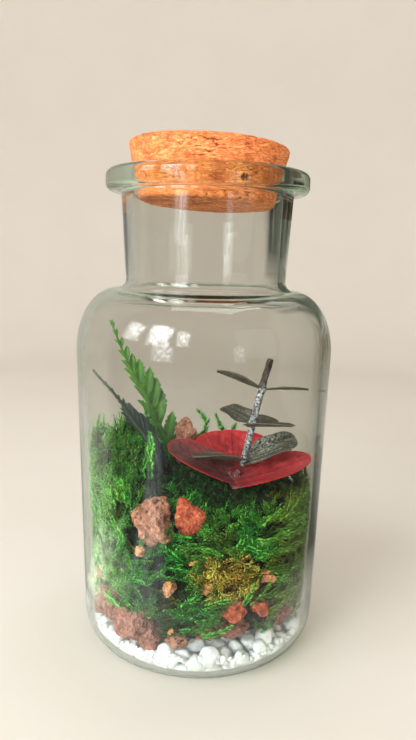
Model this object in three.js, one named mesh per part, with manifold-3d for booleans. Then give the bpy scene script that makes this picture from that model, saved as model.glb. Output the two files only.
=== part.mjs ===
// A corked glass jar that holds a small planting: white gravel, red lava stones, a mound of moss,
// two fern fronds, a whorl of red leaves and a sprig of grey eucalyptus.
// Millimetres, +Z up. The origin is the centre of the jar's foot, on the surface it stands on.
import * as THREE from "three";
import { mergeVertices } from "three/addons/utils/BufferGeometryUtils.js";
import Module from "manifold-3d";

const wasm = await Module();
wasm.setup();

// ---- Driving dimensions ----------------------------------------------------------------------

const AROUND = 36; // facets round the jar and its cork

const BODY_R = 40; // outer radius at the shoulder
const FOOT_R = 39.2; // outer radius just above the heel: the mould's draft
const HEEL = { out: 9, up: 11.5 }; // quarter ellipse from the foot ring to the wall
const FOOT_RING_INNER_R = 24; // the flat ring that the jar stands on runs from here to the heel
const PUSH_UP = 1.0; // height of the hollow inside the foot ring
const SHOULDER_Z = 97.5; // where the wall turns in
const SHOULDER_TOP_Z = 116.5;
const NECK_BASE_R = 24.7;
const NECK_TOP_R = 25.8;
const NECK_FILLET = 3;
const LIP = { r: 30.4, bottom: 144.5, top: 150.5, corner: 2 };
const WALL = 2.4;
const FLOOR_Z = 3.2; // inside of the base
const INNER_HEEL = { out: 7.4, up: 9.2 };
const MOUTH_R = 22.7;
const MOUTH_ROUND = 1.4;

const CORK = { topR: 23.9, bottomR: 20.7, height: 16.3, centreZ: 149.8, edge: 0.7 };
const CORK_TILT = { x: -0.019, y: 0.032 }; // it was pushed in a little askew, radians

const GAP = 0.35; // clearance between neighbours that only touch

const GRAVEL_TOP_Z = 11.6; // the even bed inside the ring of pebbles that lie against the glass
const PEBBLE_TOP_Z = 14.8;
const MOSS_BOTTOM_Z = GRAVEL_TOP_Z + 0.4;
const MOSS_TOP_Z = 56.8;

const Y = new THREE.Vector3(0, 1, 0);
const Z = new THREE.Vector3(0, 0, 1);
const vec = (x, y, z) => new THREE.Vector3(x, y, z);
const rad = THREE.MathUtils.degToRad;

// A seeded draw, so that every build places the small things alike.
function seeded(seed) {
  let state = seed;
  return (low = 0, high = 1) => {
    state = (state + 0x6d2b79f5) | 0;
    let t = Math.imul(state ^ (state >>> 15), 1 | state);
    t = (t + Math.imul(t ^ (t >>> 7), 61 | t)) ^ t;
    return low + (((t ^ (t >>> 14)) >>> 0) / 4294967296) * (high - low);
  };
}

// ---- Solids: from geometry, back to geometry, joined -------------------------------------------

function solidOf(geometry) {
  const bare = new THREE.BufferGeometry();
  bare.setAttribute("position", geometry.getAttribute("position"));
  bare.setIndex(geometry.getIndex());
  const merged = mergeVertices(bare, 1e-4);
  return new wasm.Manifold(
    new wasm.Mesh({
      numProp: 3,
      vertProperties: merged.getAttribute("position").array,
      triVerts: new Uint32Array(merged.getIndex().array),
    }),
  );
}

function geometryOf(solid) {
  const mesh = solid.getMesh();
  const geometry = new THREE.BufferGeometry();
  geometry.setAttribute("position", new THREE.BufferAttribute(mesh.vertProperties, 3));
  geometry.setIndex(new THREE.BufferAttribute(mesh.triVerts, 1));
  geometry.computeVertexNormals();
  return geometry;
}

const joined = (solids) => solids.reduce((whole, piece) => whole.add(piece));

// Cutting can leave loose scraps: the piece itself is the largest body.
function largestOf(solid) {
  const bodies = solid.decompose();
  return bodies.reduce((best, body) => (body.volume() > best.volume() ? body : best));
}

// ---- Shapes that several pieces share ----------------------------------------------------------

// Points on an elliptical arc in the (radius, height) plane, without its first point.
function arc(centreR, centreZ, out, up, fromDeg, toDeg, steps) {
  const points = [];
  for (let i = 1; i <= steps; i++) {
    const angle = rad(fromDeg + ((toDeg - fromDeg) * i) / steps);
    points.push([centreR + out * Math.cos(angle), centreZ + up * Math.sin(angle)]);
  }
  return points;
}

// A solid of revolution about Z. The profile runs anticlockwise from the axis at the bottom.
function turned(profile) {
  const points = profile.map(([r, z]) => new THREE.Vector2(r, z));
  return new THREE.LatheGeometry(points, AROUND).rotateX(Math.PI / 2);
}

// A rod along a smooth curve through the points, with a radius for each point.
function rod(points, radii, sides, steps, grow = 0) {
  const curve = new THREE.CatmullRomCurve3(points);
  const frames = curve.computeFrenetFrames(steps, false);
  const position = [];
  const index = [];
  for (let i = 0; i <= steps; i++) {
    const t = i / steps;
    const place = t * (radii.length - 1);
    const k = Math.min(Math.floor(place), radii.length - 2);
    const radius = THREE.MathUtils.lerp(radii[k], radii[k + 1], place - k) + grow;
    const centre = curve.getPoint(t);
    for (let s = 0; s < sides; s++) {
      const angle = (2 * Math.PI * s) / sides;
      const p = centre
        .clone()
        .addScaledVector(frames.normals[i], radius * Math.cos(angle))
        .addScaledVector(frames.binormals[i], radius * Math.sin(angle));
      position.push(p.x, p.y, p.z);
    }
  }
  for (let i = 0; i < steps; i++) {
    for (let s = 0; s < sides; s++) {
      const a = i * sides + s;
      const b = i * sides + ((s + 1) % sides);
      index.push(a, b, b + sides, a, b + sides, a + sides);
    }
  }
  for (let s = 1; s < sides - 1; s++) {
    const last = steps * sides;
    index.push(0, s + 1, s, last, last + s, last + s + 1);
  }
  return closed(position, index);
}

function closed(position, index) {
  const geometry = new THREE.BufferGeometry();
  geometry.setAttribute("position", new THREE.Float32BufferAttribute(position, 3));
  geometry.setIndex(index);
  return geometry;
}

const TIP_SHARE = 0.14; // a leaf's tip is this share of its width

// A thin leaf. It leaves `at` along `along`, where it is `broad` times its full width, and is cupped
// towards `face`. `droop` bends the tip away from the face, or towards it if negative. Both faces are
// split into the same triangles, `cells` along and across.
function leafBlade(shape) {
  const { length, width, cup, droop = 0, broad = 0.14, thick = 0.6, grow, cells } = shape;
  const base = vec(...shape.at);
  const axis = vec(...shape.along).normalize();
  const side = new THREE.Vector3().crossVectors(vec(...shape.face), axis).normalize();
  const normal = new THREE.Vector3().crossVectors(axis, side).normalize();
  const [rows, columns] = cells;
  const spreadAt = (u) =>
    u < 0.5
      ? THREE.MathUtils.lerp(broad, 1, Math.sin(Math.PI * u))
      : Math.max(Math.sqrt(Math.max(1 - (2 * u - 1) ** 2, 0)), TIP_SHARE);
  const position = [];
  for (const layer of [1, -1]) {
    for (let i = 0; i <= rows; i++) {
      const u = i / rows;
      const spread = spreadAt(u);
      for (let j = 0; j <= columns; j++) {
        const v = (2 * j) / columns - 1;
        const lift = cup * (v * spread) ** 2 - droop * u * u + layer * (thick / 2 + grow);
        const p = base
          .clone()
          .addScaledVector(axis, u * (length + grow))
          .addScaledVector(side, v * spread * (width / 2 + grow))
          .addScaledVector(normal, lift);
        position.push(p.x, p.y, p.z);
      }
    }
  }
  const across = columns + 1;
  const layerSize = (rows + 1) * across;
  const index = [];
  for (let i = 0; i < rows; i++) {
    for (let j = 0; j < columns; j++) {
      const a = i * across + j;
      const [b, c, d] = [a + 1, a + across + 1, a + across];
      index.push(a, c, b, a, d, c);
      index.push(a + layerSize, b + layerSize, c + layerSize, a + layerSize, c + layerSize, d + layerSize);
    }
  }
  const rim = [];
  for (let j = 0; j < columns; j++) rim.push(j);
  for (let i = 0; i < rows; i++) rim.push(i * across + columns);
  for (let j = columns; j > 0; j--) rim.push(rows * across + j);
  for (let i = rows; i > 0; i--) rim.push(i * across);
  rim.forEach((a, k) => {
    const b = rim[(k + 1) % rim.length];
    index.push(a, b, b + layerSize, a, b + layerSize, a + layerSize);
  });
  return closed(position, index);
}

// A rough stone: a ball pushed in and out by three slow waves. At detail 0 it is a bare dodecahedron.
function lump({ at, size, roughness, detail, phase, turn = 0, grow = 0 }) {
  const geometry = detail > 0 ? new THREE.IcosahedronGeometry(1, detail) : new THREE.DodecahedronGeometry(1, 0);
  const points = geometry.getAttribute("position");
  for (let i = 0; i < points.count; i++) {
    const p = new THREE.Vector3().fromBufferAttribute(points, i).normalize();
    const across = Math.sin(3.1 * p.x + phase) + Math.sin(4.3 * p.y + 2.1 * phase);
    const upright = Math.sin(3.7 * p.z + 1.3 * phase + 2 * p.x);
    const reach = 1 + (roughness * (across + upright)) / 3;
    p.multiply(vec(...size).multiplyScalar(reach).addScalar(grow));
    p.applyAxisAngle(Y, turn).add(at);
    points.setXYZ(i, p.x, p.y, p.z);
  }
  return solidOf(geometry);
}

// ---- The jar and its cork ----------------------------------------------------------------------

const NECK_TURN_R = NECK_BASE_R + NECK_FILLET; // where the shoulder meets the neck's fillet

function outerProfile() {
  return [
    [0, PUSH_UP],
    [FOOT_RING_INNER_R - 3, PUSH_UP],
    [FOOT_RING_INNER_R, 0],
    [FOOT_R - HEEL.out, 0],
    ...arc(FOOT_R - HEEL.out, HEEL.up, HEEL.out, HEEL.up, -90, 0, 4),
    [BODY_R, SHOULDER_Z],
    ...arc(NECK_TURN_R, SHOULDER_Z, BODY_R - NECK_TURN_R, SHOULDER_TOP_Z - SHOULDER_Z, 0, 90, 6),
    ...arc(NECK_TURN_R, SHOULDER_TOP_Z + NECK_FILLET, NECK_FILLET, NECK_FILLET, 270, 180, 2),
    [NECK_TOP_R, LIP.bottom],
    [LIP.r - LIP.corner, LIP.bottom],
    ...arc(LIP.r - LIP.corner, LIP.bottom + LIP.corner, LIP.corner, LIP.corner, -90, 0, 2),
    ...arc(LIP.r - LIP.corner, LIP.top - LIP.corner, LIP.corner, LIP.corner, 0, 90, 2),
  ];
}

// The inside wall from the floor up to the mouth, drawn in by `inset`.
function innerProfile(inset) {
  const bodyR = BODY_R - WALL - inset;
  const footR = FOOT_R - WALL - inset;
  const fillet = NECK_FILLET + WALL + inset;
  const rise = SHOULDER_TOP_Z - SHOULDER_Z - WALL - inset;
  const floor = FLOOR_Z + inset;
  return [
    [footR - INNER_HEEL.out, floor],
    ...arc(footR - INNER_HEEL.out, floor + INNER_HEEL.up, INNER_HEEL.out, INNER_HEEL.up, -90, 0, 3),
    [bodyR, SHOULDER_Z],
    ...arc(NECK_TURN_R, SHOULDER_Z, bodyR - NECK_TURN_R, rise, 0, 90, 5),
    ...arc(NECK_TURN_R, SHOULDER_TOP_Z + NECK_FILLET, fillet, fillet, 270, 180, 2),
  ];
}

function jar() {
  const mouth = [
    [MOUTH_R, LIP.top - MOUTH_ROUND],
    ...arc(MOUTH_R + MOUTH_ROUND, LIP.top - MOUTH_ROUND, MOUTH_ROUND, MOUTH_ROUND, 180, 90, 2),
  ];
  const inside = [...innerProfile(0), ...mouth].reverse();
  return solidOf(turned([...outerProfile(), ...inside, [0, FLOOR_Z]]));
}

// The room inside the jar's body, drawn in by the clearance: what lies in the jar is kept within it.
function roomInside() {
  const wall = innerProfile(GAP);
  const top = wall[wall.length - 1];
  return solidOf(turned([[0, FLOOR_Z + GAP], ...wall, [0, top[1]]]));
}

function cork() {
  const { topR, bottomR, height, edge } = CORK;
  const half = height / 2;
  return turned([
    [0, -half],
    [bottomR - edge, -half],
    [bottomR, -half + edge],
    [topR, half - edge],
    [topR - edge, half],
    [0, half],
  ]);
}

const room = roomInside();

// ---- White gravel ------------------------------------------------------------------------------

const PEBBLES_ROUND = 24;
const PEBBLE_RELIEF = 1.5;
const BED_R = 29.5; // inside the heaped ring the bed lies even, under the moss

// Rows of the surface from the floor up the glass and over the top, as [radius, height]. From the
// second to the last but one, every other point is pushed in, so that the rows read as pebbles.
const GRAVEL_ROWS = [
  [28.6, FLOOR_Z + GAP],
  [32.0, 4.5],
  [34.4, 6.5],
  [35.5, 8.8],
  [36.0, 11],
  [36.1, 12.8],
  [34.6, 14.8],
  [31.6, 14.6],
  [BED_R, GRAVEL_TOP_Z],
];

function gravel() {
  const draw = seeded(7);
  const columns = 2 * PEBBLES_ROUND;
  const position = [0, 0, FLOOR_Z + GAP, 0, 0, GRAVEL_TOP_Z];
  GRAVEL_ROWS.forEach(([radius, height], j) => {
    const loose = j > 0 && j < GRAVEL_ROWS.length - 1;
    for (let i = 0; i < columns; i++) {
      const sunk = loose ? PEBBLE_RELIEF * ((i + j) % 2) + draw(0, 0.5) : 0;
      const angle = (2 * Math.PI * (i + (loose ? draw(-0.22, 0.22) : 0))) / columns;
      const r = radius - 0.8 * sunk;
      position.push(r * Math.cos(angle), r * Math.sin(angle), height - (height > 13 ? 0.7 * sunk : 0));
    }
  });
  const index = [];
  const rows = GRAVEL_ROWS.length;
  for (let i = 0; i < columns; i++) {
    const next = (i + 1) % columns;
    const last = 2 + (rows - 1) * columns;
    index.push(0, 2 + next, 2 + i, 1, last + i, last + next);
    for (let j = 0; j < rows - 1; j++) {
      const [a, b] = [2 + j * columns + i, 2 + j * columns + next];
      const [c, d] = [b + columns, a + columns];
      // the longer diagonal runs between the two raised corners
      if ((i + j) % 2) index.push(a, b, d, b, c, d);
      else index.push(a, b, c, a, c, d);
    }
  }
  return solidOf(closed(position, index));
}

// ---- Lava stones -------------------------------------------------------------------------------

const LAVA = 0xa85a48;
const LAVA_ORANGE = 0xc8623f;
const LAVA_BROWN = 0x7e5448;

// Each has its centre, its half sizes, its colour and how finely it is faceted.
const STONES = [
  { at: [-12.8, -29.4, 51.2], size: [6.2, 5.2, 6.9], colour: LAVA, detail: 2, phase: 1.1, turn: 0.25 },
  { at: [-3.2, -31.6, 53.4], size: [3.3, 3.7, 5.3], colour: LAVA_ORANGE, detail: 2, phase: 4.4, turn: -0.1 },
  { at: [-5.2, 7.5, 63.8], size: [4.0, 3.4, 8.0], colour: LAVA, detail: 1, phase: 2.7, turn: 0 },
  { at: [-28.2, -17.0, 18.4], size: [4.9, 4.8, 5.4], colour: LAVA, detail: 1, phase: 0.4, turn: 0.5 },
  { at: [-18.2, -27.2, 15.8], size: [6.4, 4.8, 5.2], colour: LAVA, detail: 2, phase: 3.6, turn: 0.6 },
  { at: [-30.2, -17.0, 27.4], size: [2.6, 2.4, 2.0], colour: LAVA, detail: 1, phase: 5.1, turn: 0.2 },
  { at: [-5.6, -33.0, 14.8], size: [3.6, 2.8, 2.2], colour: LAVA, detail: 1, phase: 1.9, turn: 0 },
  { at: [9.8, -29.6, 17.6], size: [5.0, 4.4, 3.8], colour: LAVA_BROWN, detail: 1, phase: 0.9, turn: -0.2 },
  { at: [10.6, -31.0, 24.8], size: [4.3, 3.6, 3.3], colour: LAVA_ORANGE, detail: 1, phase: 2.2, turn: -0.3 },
  { at: [17.8, -28.4, 24.0], size: [2.7, 3.2, 3.2], colour: LAVA_ORANGE, detail: 1, phase: 5.6, turn: 0.1 },
  { at: [24.4, -22.2, 17.8], size: [3.8, 3.4, 4.0], colour: LAVA_BROWN, detail: 1, phase: 3.1, turn: 0.1 },
  { at: [2.4, -33.2, 17.2], size: [2.3, 2.2, 2.1], colour: LAVA_BROWN, detail: 1, phase: 4.0, turn: 0.4 },
  { at: [-17.2, -29.2, 41.6], size: [1.9, 1.8, 1.7], colour: LAVA_ORANGE, detail: 0, phase: 1.4, turn: 0.6 },
  { at: [-8.4, -32.2, 31.0], size: [1.8, 2.0, 2.6], colour: LAVA_ORANGE, detail: 0, phase: 2.9, turn: 0.2 },
  { at: [2.0, -33.6, 31.8], size: [1.7, 1.6, 1.5], colour: LAVA_ORANGE, detail: 0, phase: 0.7, turn: 1.0 },
  { at: [19.6, -27.6, 33.2], size: [2.4, 2.0, 1.8], colour: LAVA_ORANGE, detail: 0, phase: 4.6, turn: 0.1 },
];

const lavaStone = ({ at, size, detail, phase, turn }, grow = 0) =>
  lump({ at: vec(...at), size, roughness: 0.42, detail, phase, turn, grow });

// ---- Eucalyptus sprig --------------------------------------------------------------------------

const SPRIG_STEM = [
  vec(11.6, -1.0, 47),
  vec(13.6, -2.4, 60.5),
  vec(16.2, -3.4, 74.6),
  vec(18.4, -4.0, 86.2),
  vec(20.8, -4.2, 95.6),
];
const SPRIG_STEM_R = [1.0, 1.2, 1.25, 1.2, 1.15];

// Pairs of leaves at three nodes, from the lowest up. The middle node has a third, smaller leaf.
const SPRIG_LEAVES = [
  {
    at: [14.0, -2.6, 62.0], along: [-1, -0.5, 0.2], face: [0.14, 0.3, 1],
    length: 18.6, width: 13, cup: 1.4, broad: 0.5,
  },
  {
    at: [13.6, -2.4, 61.6], along: [1, -0.06, 0.42], face: [-0.42, -0.3, 1],
    length: 19, width: 14.5, cup: 1.6, broad: 0.5, droop: -1,
  },
  {
    at: [17.4, -2.2, 74.4], along: [-0.82, 0.6, 0.28], face: [0.25, -0.2, 1],
    length: 13.4, width: 12.5, cup: 1.0, broad: 0.5,
  },
  {
    at: [16.4, -3.0, 74.8], along: [0.8, 0.5, 0.0], face: [0.1, -0.1, 1],
    length: 9.6, width: 9, cup: 0.6, broad: 0.5,
  },
  {
    at: [14.4, -3.8, 74.2], along: [0.78, -0.62, 0.17], face: [-0.02, 0.27, 1],
    length: 17, width: 12.5, cup: 0.7, broad: 0.4,
  },
  {
    at: [18.4, -4.0, 86.4], along: [-1, 0.02, 0.36], face: [0.36, 0.27, 1],
    length: 15.2, width: 11.5, cup: 1.0,
  },
  {
    at: [18.4, -4.0, 86.2], along: [1, 0.1, 0.06], face: [-0.12, 0.19, 1],
    length: 15, width: 11, cup: 0.4, droop: 0.9,
  },
];

function sprigStem(grow = 0) {
  return solidOf(rod(SPRIG_STEM, SPRIG_STEM_R, 6, 9, grow));
}

function eucalyptusSprig(grow = 0) {
  const leaves = SPRIG_LEAVES.map((leaf) => solidOf(leafBlade({ cells: [5, 4], grow, ...leaf })));
  return joined([sprigStem(grow), ...leaves]);
}

// ---- Red leaves --------------------------------------------------------------------------------

const RED_STUB = [vec(10.8, -6.8, 48), vec(11.4, -7.2, 55), vec(11.6, -7.6, 60.6)];
const RED_STUB_R = [1.3, 1.6, 1.3];

const RED_LEAVES = [
  // the back one, its upper face towards the viewer
  {
    at: [11.0, -6.4, 57.2], along: [-0.06, 0.95, 0.24], face: [0.02, -0.3, 1],
    length: 20, width: 26, cup: 3.8, broad: 0.5, droop: -6.4,
  },
  // the left wing
  {
    at: [12.2, -7.4, 57.0], along: [-1, 0.02, 0.18], face: [0.2, -0.16, 1],
    length: 24.4, width: 20, cup: 3.2, broad: 0.55, droop: -7,
  },
  // the right wing, whose front edge hangs lowest
  {
    at: [8.6, -10.4, 57.0], along: [1, 0.14, 0.14], face: [-0.16, -0.16, 1],
    length: 27.4, width: 17, cup: 1.8, broad: 0.8, droop: -4.6,
  },
];

function redLeaves(grow = 0) {
  const stub = solidOf(rod(RED_STUB, RED_STUB_R, 6, 5, grow));
  const blades = RED_LEAVES.map((leaf) => solidOf(leafBlade({ thick: 0.7, cells: [6, 4], grow, ...leaf })));
  return joined([stub, ...blades]);
}

// ---- Fern fronds -------------------------------------------------------------------------------

// One toothed leaflet, flat, pointing along +X from the origin.
function leaflet(length, width, thick) {
  const half = width / 2;
  const edge = [
    [0, 0.25],
    [0.5, 1],
    [0.6, 0.72],
  ];
  const outline = new THREE.Shape();
  for (const [along, out] of edge) outline.lineTo(along * length, -out * half);
  outline.lineTo(length, 0);
  for (const [along, out] of edge.toReversed()) outline.lineTo(along * length, out * half);
  return new THREE.ExtrudeGeometry(outline, { depth: thick, bevelEnabled: false }).translate(0, 0, -thick / 2);
}

// A frond: a stalk with leaflets in pairs from `first` to the tip. Those on the far side are folded
// back by `fold`.
function frond({ stalk, stalkR, first, pairs, leaf, lean, fold, face }, grow = 0) {
  const curve = new THREE.CatmullRomCurve3(stalk);
  const parts = [solidOf(rod(stalk, stalkR, 4, 9, grow))];
  for (let i = 0; i < pairs; i++) {
    const t = THREE.MathUtils.lerp(first, 0.97, i / (pairs - 1));
    const size = leaf.profile(i / (pairs - 1));
    const place = curve.getPoint(t);
    const tangent = curve.getTangent(t);
    const across = new THREE.Vector3().crossVectors(tangent, face).normalize();
    const normal = new THREE.Vector3().crossVectors(across, tangent).normalize();
    for (const turn of [0, Math.PI + fold]) {
      const outward = across.clone().applyAxisAngle(tangent, turn);
      const along = tangent.clone().multiplyScalar(Math.cos(lean)).addScaledVector(outward, Math.sin(lean));
      const upward = normal.clone().applyAxisAngle(tangent, turn);
      const side = new THREE.Vector3().crossVectors(upward, along).normalize();
      const frame = new THREE.Matrix4().makeBasis(along, side, new THREE.Vector3().crossVectors(along, side));
      frame.setPosition(place.clone().addScaledVector(along, -0.5));
      const blade = leaflet(leaf.length * size + grow, leaf.width * size + 2 * grow, 0.6 + 2 * grow);
      parts.push(solidOf(blade.applyMatrix4(frame)));
    }
  }
  return largestOf(joined(parts));
}

const GREEN_FROND = {
  stalk: [
    vec(-8.6, 3.0, 48),
    vec(-10.3, 4.4, 62),
    vec(-15.4, 5.0, 73.4),
    vec(-19.4, 5.0, 82),
    vec(-25.2, 5.0, 92),
    vec(-31.2, 4.8, 105.8),
  ],
  stalkR: [0.9, 0.9, 0.8, 0.7, 0.6, 0.4],
  first: 0.27,
  pairs: 9,
  leaf: { length: 9.8, width: 5, profile: (k) => 1 - 0.68 * k },
  lean: rad(30),
  fold: rad(45),
  face: vec(0.15, -1, 0.1),
};

const DARK_FROND = {
  stalk: [
    vec(-11.4, -4.0, 48),
    vec(-13.4, -5.0, 60),
    vec(-17.2, -5.0, 68.4),
    vec(-21.6, -5.0, 74.4),
    vec(-26.2, -4.6, 81),
    vec(-35.6, -3.6, 91),
  ],
  stalkR: [1.5, 1.5, 1.1, 0.9, 0.7, 0.4],
  first: 0.3,
  pairs: 5,
  leaf: { length: 9.6, width: 3.4, profile: (k) => (k < 0.9 ? 1 - 0.5 * k : 0.3) },
  lean: rad(26),
  fold: rad(50),
  face: vec(0.1, -1, 0.2),
};

// ---- Moss --------------------------------------------------------------------------------------

// Height of the mound's surface: highest at the left, and higher round the glass than in the middle.
const mossTop = (x, y) =>
  MOSS_TOP_Z - 0.15 * x + 0.08 * y + 0.006 * x * x + 1.5 * Math.sin(0.16 * x + 1) * Math.cos(0.14 * y);

// One shoot: a slim three-sided blade that curves over.
function shoot(root, direction, length, bend, thickness) {
  const middle = root.clone().addScaledVector(direction, 0.55 * length).addScaledVector(bend, 0.25 * length);
  const tip = root.clone().addScaledVector(direction, 0.9 * length).addScaledVector(bend, 0.8 * length);
  return solidOf(rod([root, middle, tip], [thickness, 0.9 * thickness, 0.3 * thickness], 3, 2));
}

// The packed inner body of the mound, with a lumpy surface.
function mossCore() {
  const geometry = turned([
    [0, MOSS_BOTTOM_Z],
    [BED_R - 1, MOSS_BOTTOM_Z],
    [BED_R - 1, PEBBLE_TOP_Z + GAP],
    [33.4, PEBBLE_TOP_Z + 1.2],
    [33.9, 30],
    [33.9, 46],
    [32.6, 53],
    [25, 56],
    [12, 56.6],
    [0, 56.8],
  ]);
  const points = geometry.getAttribute("position");
  for (let i = 0; i < points.count; i++) {
    const p = new THREE.Vector3().fromBufferAttribute(points, i);
    const angle = Math.atan2(p.y, p.x);
    const swell = Math.sin(5 * angle + 0.21 * p.z) + Math.sin(9 * angle - 0.33 * p.z + 2);
    const scale = p.z > PEBBLE_TOP_Z ? 1 + 0.02 * swell * Math.min(Math.hypot(p.x, p.y) / 20, 1) : 1;
    const share = THREE.MathUtils.clamp((p.z - 40) / 14, 0, 1);
    points.setXYZ(i, p.x * scale, p.y * scale, p.z + share * (mossTop(p.x, p.y) - MOSS_TOP_Z));
  }
  return solidOf(geometry);
}

const CROWN_SHOOTS = 48;
const WALL_SHOOTS = 58;
const GOLDEN_ANGLE = Math.PI * (3 - Math.sqrt(5));

function moss() {
  const draw = seeded(23);
  const shoots = [];
  // upright shoots over the crown, longest in the tufts at the left
  for (let i = 0; i < CROWN_SHOOTS; i++) {
    const distance = 31.5 * Math.sqrt((i + 0.5) / CROWN_SHOOTS);
    const angle = i * GOLDEN_ANGLE;
    const [x, y] = [distance * Math.cos(angle), distance * Math.sin(angle)];
    const length = x < -14 ? draw(8, 14) : draw(4, 7);
    const root = vec(x, y, mossTop(x, y) - 2.5 - 0.004 * distance ** 2);
    const direction = vec(draw(-0.25, 0.25), draw(-0.25, 0.25), 1).normalize();
    const bend = vec(draw(-0.2, 0.2), draw(-0.2, 0.2), 0);
    shoots.push(shoot(root, direction, length, bend, draw(0.9, 1.4)));
  }
  // shoots that lie against the glass
  for (let i = 0; i < WALL_SHOOTS; i++) {
    const angle = i * GOLDEN_ANGLE;
    const outward = vec(Math.cos(angle), Math.sin(angle), 0);
    const sideways = new THREE.Vector3().crossVectors(Z, outward).multiplyScalar(draw() < 0.5 ? -1 : 1);
    const slope = draw(0.4, 1.2);
    const direction = sideways.multiplyScalar(Math.cos(slope)).addScaledVector(Z, Math.sin(slope));
    const root = outward.clone().multiplyScalar(33.4).addScaledVector(Z, 18 + (34 * (i + 0.5)) / WALL_SHOOTS);
    const bend = outward.multiplyScalar(0.25);
    shoots.push(shoot(root, direction, draw(6.5, 10), bend, draw(1.2, 1.6)));
  }
  return joined([mossCore(), ...shoots]);
}

// A yellowed cushion low at the front, and what is cut out of the green for it.
const OLIVE_AT = vec(8.4, -30.4, 35.4);
const OLIVE_SHOOTS = 16;
const oliveCushion = (grow = 0) =>
  lump({ at: OLIVE_AT, size: [9.4, 5.8, 6.4], roughness: 0.25, detail: 2, phase: 2.4, grow });

function oliveMoss() {
  const draw = seeded(41);
  const shoots = [];
  for (let i = 0; i < OLIVE_SHOOTS; i++) {
    const angle = i * GOLDEN_ANGLE;
    const reach = 0.2 + 0.75 * Math.sqrt((i + 0.5) / OLIVE_SHOOTS);
    const root = OLIVE_AT.clone().add(vec(7.6 * reach * Math.cos(angle), -3.4, 5 * reach * Math.sin(angle)));
    const direction = vec(Math.cos(angle + draw(0.4, 1.6)), -0.3, Math.sin(angle + draw(0.4, 1.6))).normalize();
    shoots.push(shoot(root, direction, draw(3, 5), vec(0, -0.5, 0), 1.1));
  }
  return joined([oliveCushion(), ...shoots]);
}

// ---- Fit everything together -------------------------------------------------------------------

const stonesGrown = joined(STONES.map((stone) => lavaStone(stone, GAP)));
const stemsGrown = joined([
  sprigStem(GAP),
  redLeaves(GAP),
  frond(GREEN_FROND, GAP),
  frond(DARK_FROND, GAP),
]);

const oliveSolid = largestOf(oliveMoss().intersect(room).subtract(stonesGrown));
const oliveRoom = joined([oliveSolid, oliveCushion(GAP)]);

const gravelSolid = largestOf(gravel().intersect(room).subtract(stonesGrown));
const mossSolid = largestOf(
  moss().intersect(room).subtract(stonesGrown).subtract(stemsGrown).subtract(oliveRoom),
);
const whorlSolid = largestOf(redLeaves().intersect(room).subtract(sprigStem(GAP)));

const pieces = [
  { name: "glass_jar", solid: jar(), colour: 0xdfe6dc, roughness: 0.05, opacity: 0.35 },
  { name: "gravel_bed", solid: gravelSolid, colour: 0xeeece8, roughness: 0.8 },
  { name: "moss_green", solid: mossSolid, colour: 0x2f7a34, roughness: 0.85 },
  { name: "moss_olive", solid: oliveSolid, colour: 0x8f8d2c, roughness: 0.85 },
  { name: "fern_frond_green", solid: frond(GREEN_FROND).intersect(room), colour: 0x4d8a2c, roughness: 0.55 },
  { name: "fern_frond_dark", solid: frond(DARK_FROND).intersect(room), colour: 0x27342f, roughness: 0.6 },
  { name: "eucalyptus_sprig", solid: eucalyptusSprig(), colour: 0x6f7161, roughness: 0.6 },
  { name: "red_leaf_whorl", solid: whorlSolid, colour: 0xb32c30, roughness: 0.5 },
  ...STONES.map((stone, i) => ({
    name: `lava_stone_${String(i + 1).padStart(2, "0")}`,
    solid: lavaStone(stone).intersect(room),
    colour: stone.colour,
    roughness: 0.95,
  })),
];

const terrarium = new THREE.Group();
for (const { name, solid, colour, roughness, opacity = 1 } of pieces) {
  const material = new THREE.MeshStandardMaterial({ color: colour, roughness, metalness: 0, flatShading: true });
  material.transparent = opacity < 1;
  material.opacity = opacity;
  const mesh = new THREE.Mesh(geometryOf(solid), material);
  mesh.name = name;
  terrarium.add(mesh);
}

const corkMaterial = new THREE.MeshStandardMaterial({ color: 0xc98550, roughness: 0.9, metalness: 0 });
const stopper = new THREE.Mesh(cork(), corkMaterial);
stopper.name = "cork_stopper";
stopper.position.set(0, 0, CORK.centreZ);
stopper.rotation.set(CORK_TILT.x, CORK_TILT.y, 0);
terrarium.add(stopper);

export default terrarium;
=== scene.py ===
# %% [markdown]
# # A corked jar with a planting of moss, fern and leaves
# The jar is a half-litre glass jar with a cork. Inside it lie white gravel, red lava stones and a mound
# of preserved moss, and two fern fronds, three dyed red leaves and a grey eucalyptus sprig stand in the
# moss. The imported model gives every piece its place. This lesson rebuilds each of them finely over its
# plain solid, gives it a finish, and lights it as a small product shot.

import itertools
import math

import bmesh
import bpy
import numpy as np
from mathutils import Matrix, Vector


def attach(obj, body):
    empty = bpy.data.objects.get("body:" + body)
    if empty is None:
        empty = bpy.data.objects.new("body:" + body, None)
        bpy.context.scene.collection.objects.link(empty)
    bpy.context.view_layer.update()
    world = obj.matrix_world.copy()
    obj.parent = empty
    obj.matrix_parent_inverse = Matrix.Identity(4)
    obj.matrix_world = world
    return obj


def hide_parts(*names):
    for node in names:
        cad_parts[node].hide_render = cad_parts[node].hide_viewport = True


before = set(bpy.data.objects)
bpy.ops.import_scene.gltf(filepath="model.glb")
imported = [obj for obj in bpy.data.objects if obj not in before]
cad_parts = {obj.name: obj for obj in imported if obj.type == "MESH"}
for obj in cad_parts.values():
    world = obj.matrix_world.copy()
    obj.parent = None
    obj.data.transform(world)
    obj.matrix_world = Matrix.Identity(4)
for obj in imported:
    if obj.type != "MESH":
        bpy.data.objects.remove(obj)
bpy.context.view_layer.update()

# %% [markdown]
# ## The camera
# The photo was taken close to the jar, from a little above the moss and looking slightly down, with the
# phone turned about one and a half degrees. Its place was found by fitting the jar's outline, both rims
# of the cork and the edges of the lip. The frame is 416 by 740 pixels, and the small upward shift stands
# for the crop of the photo.

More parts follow.
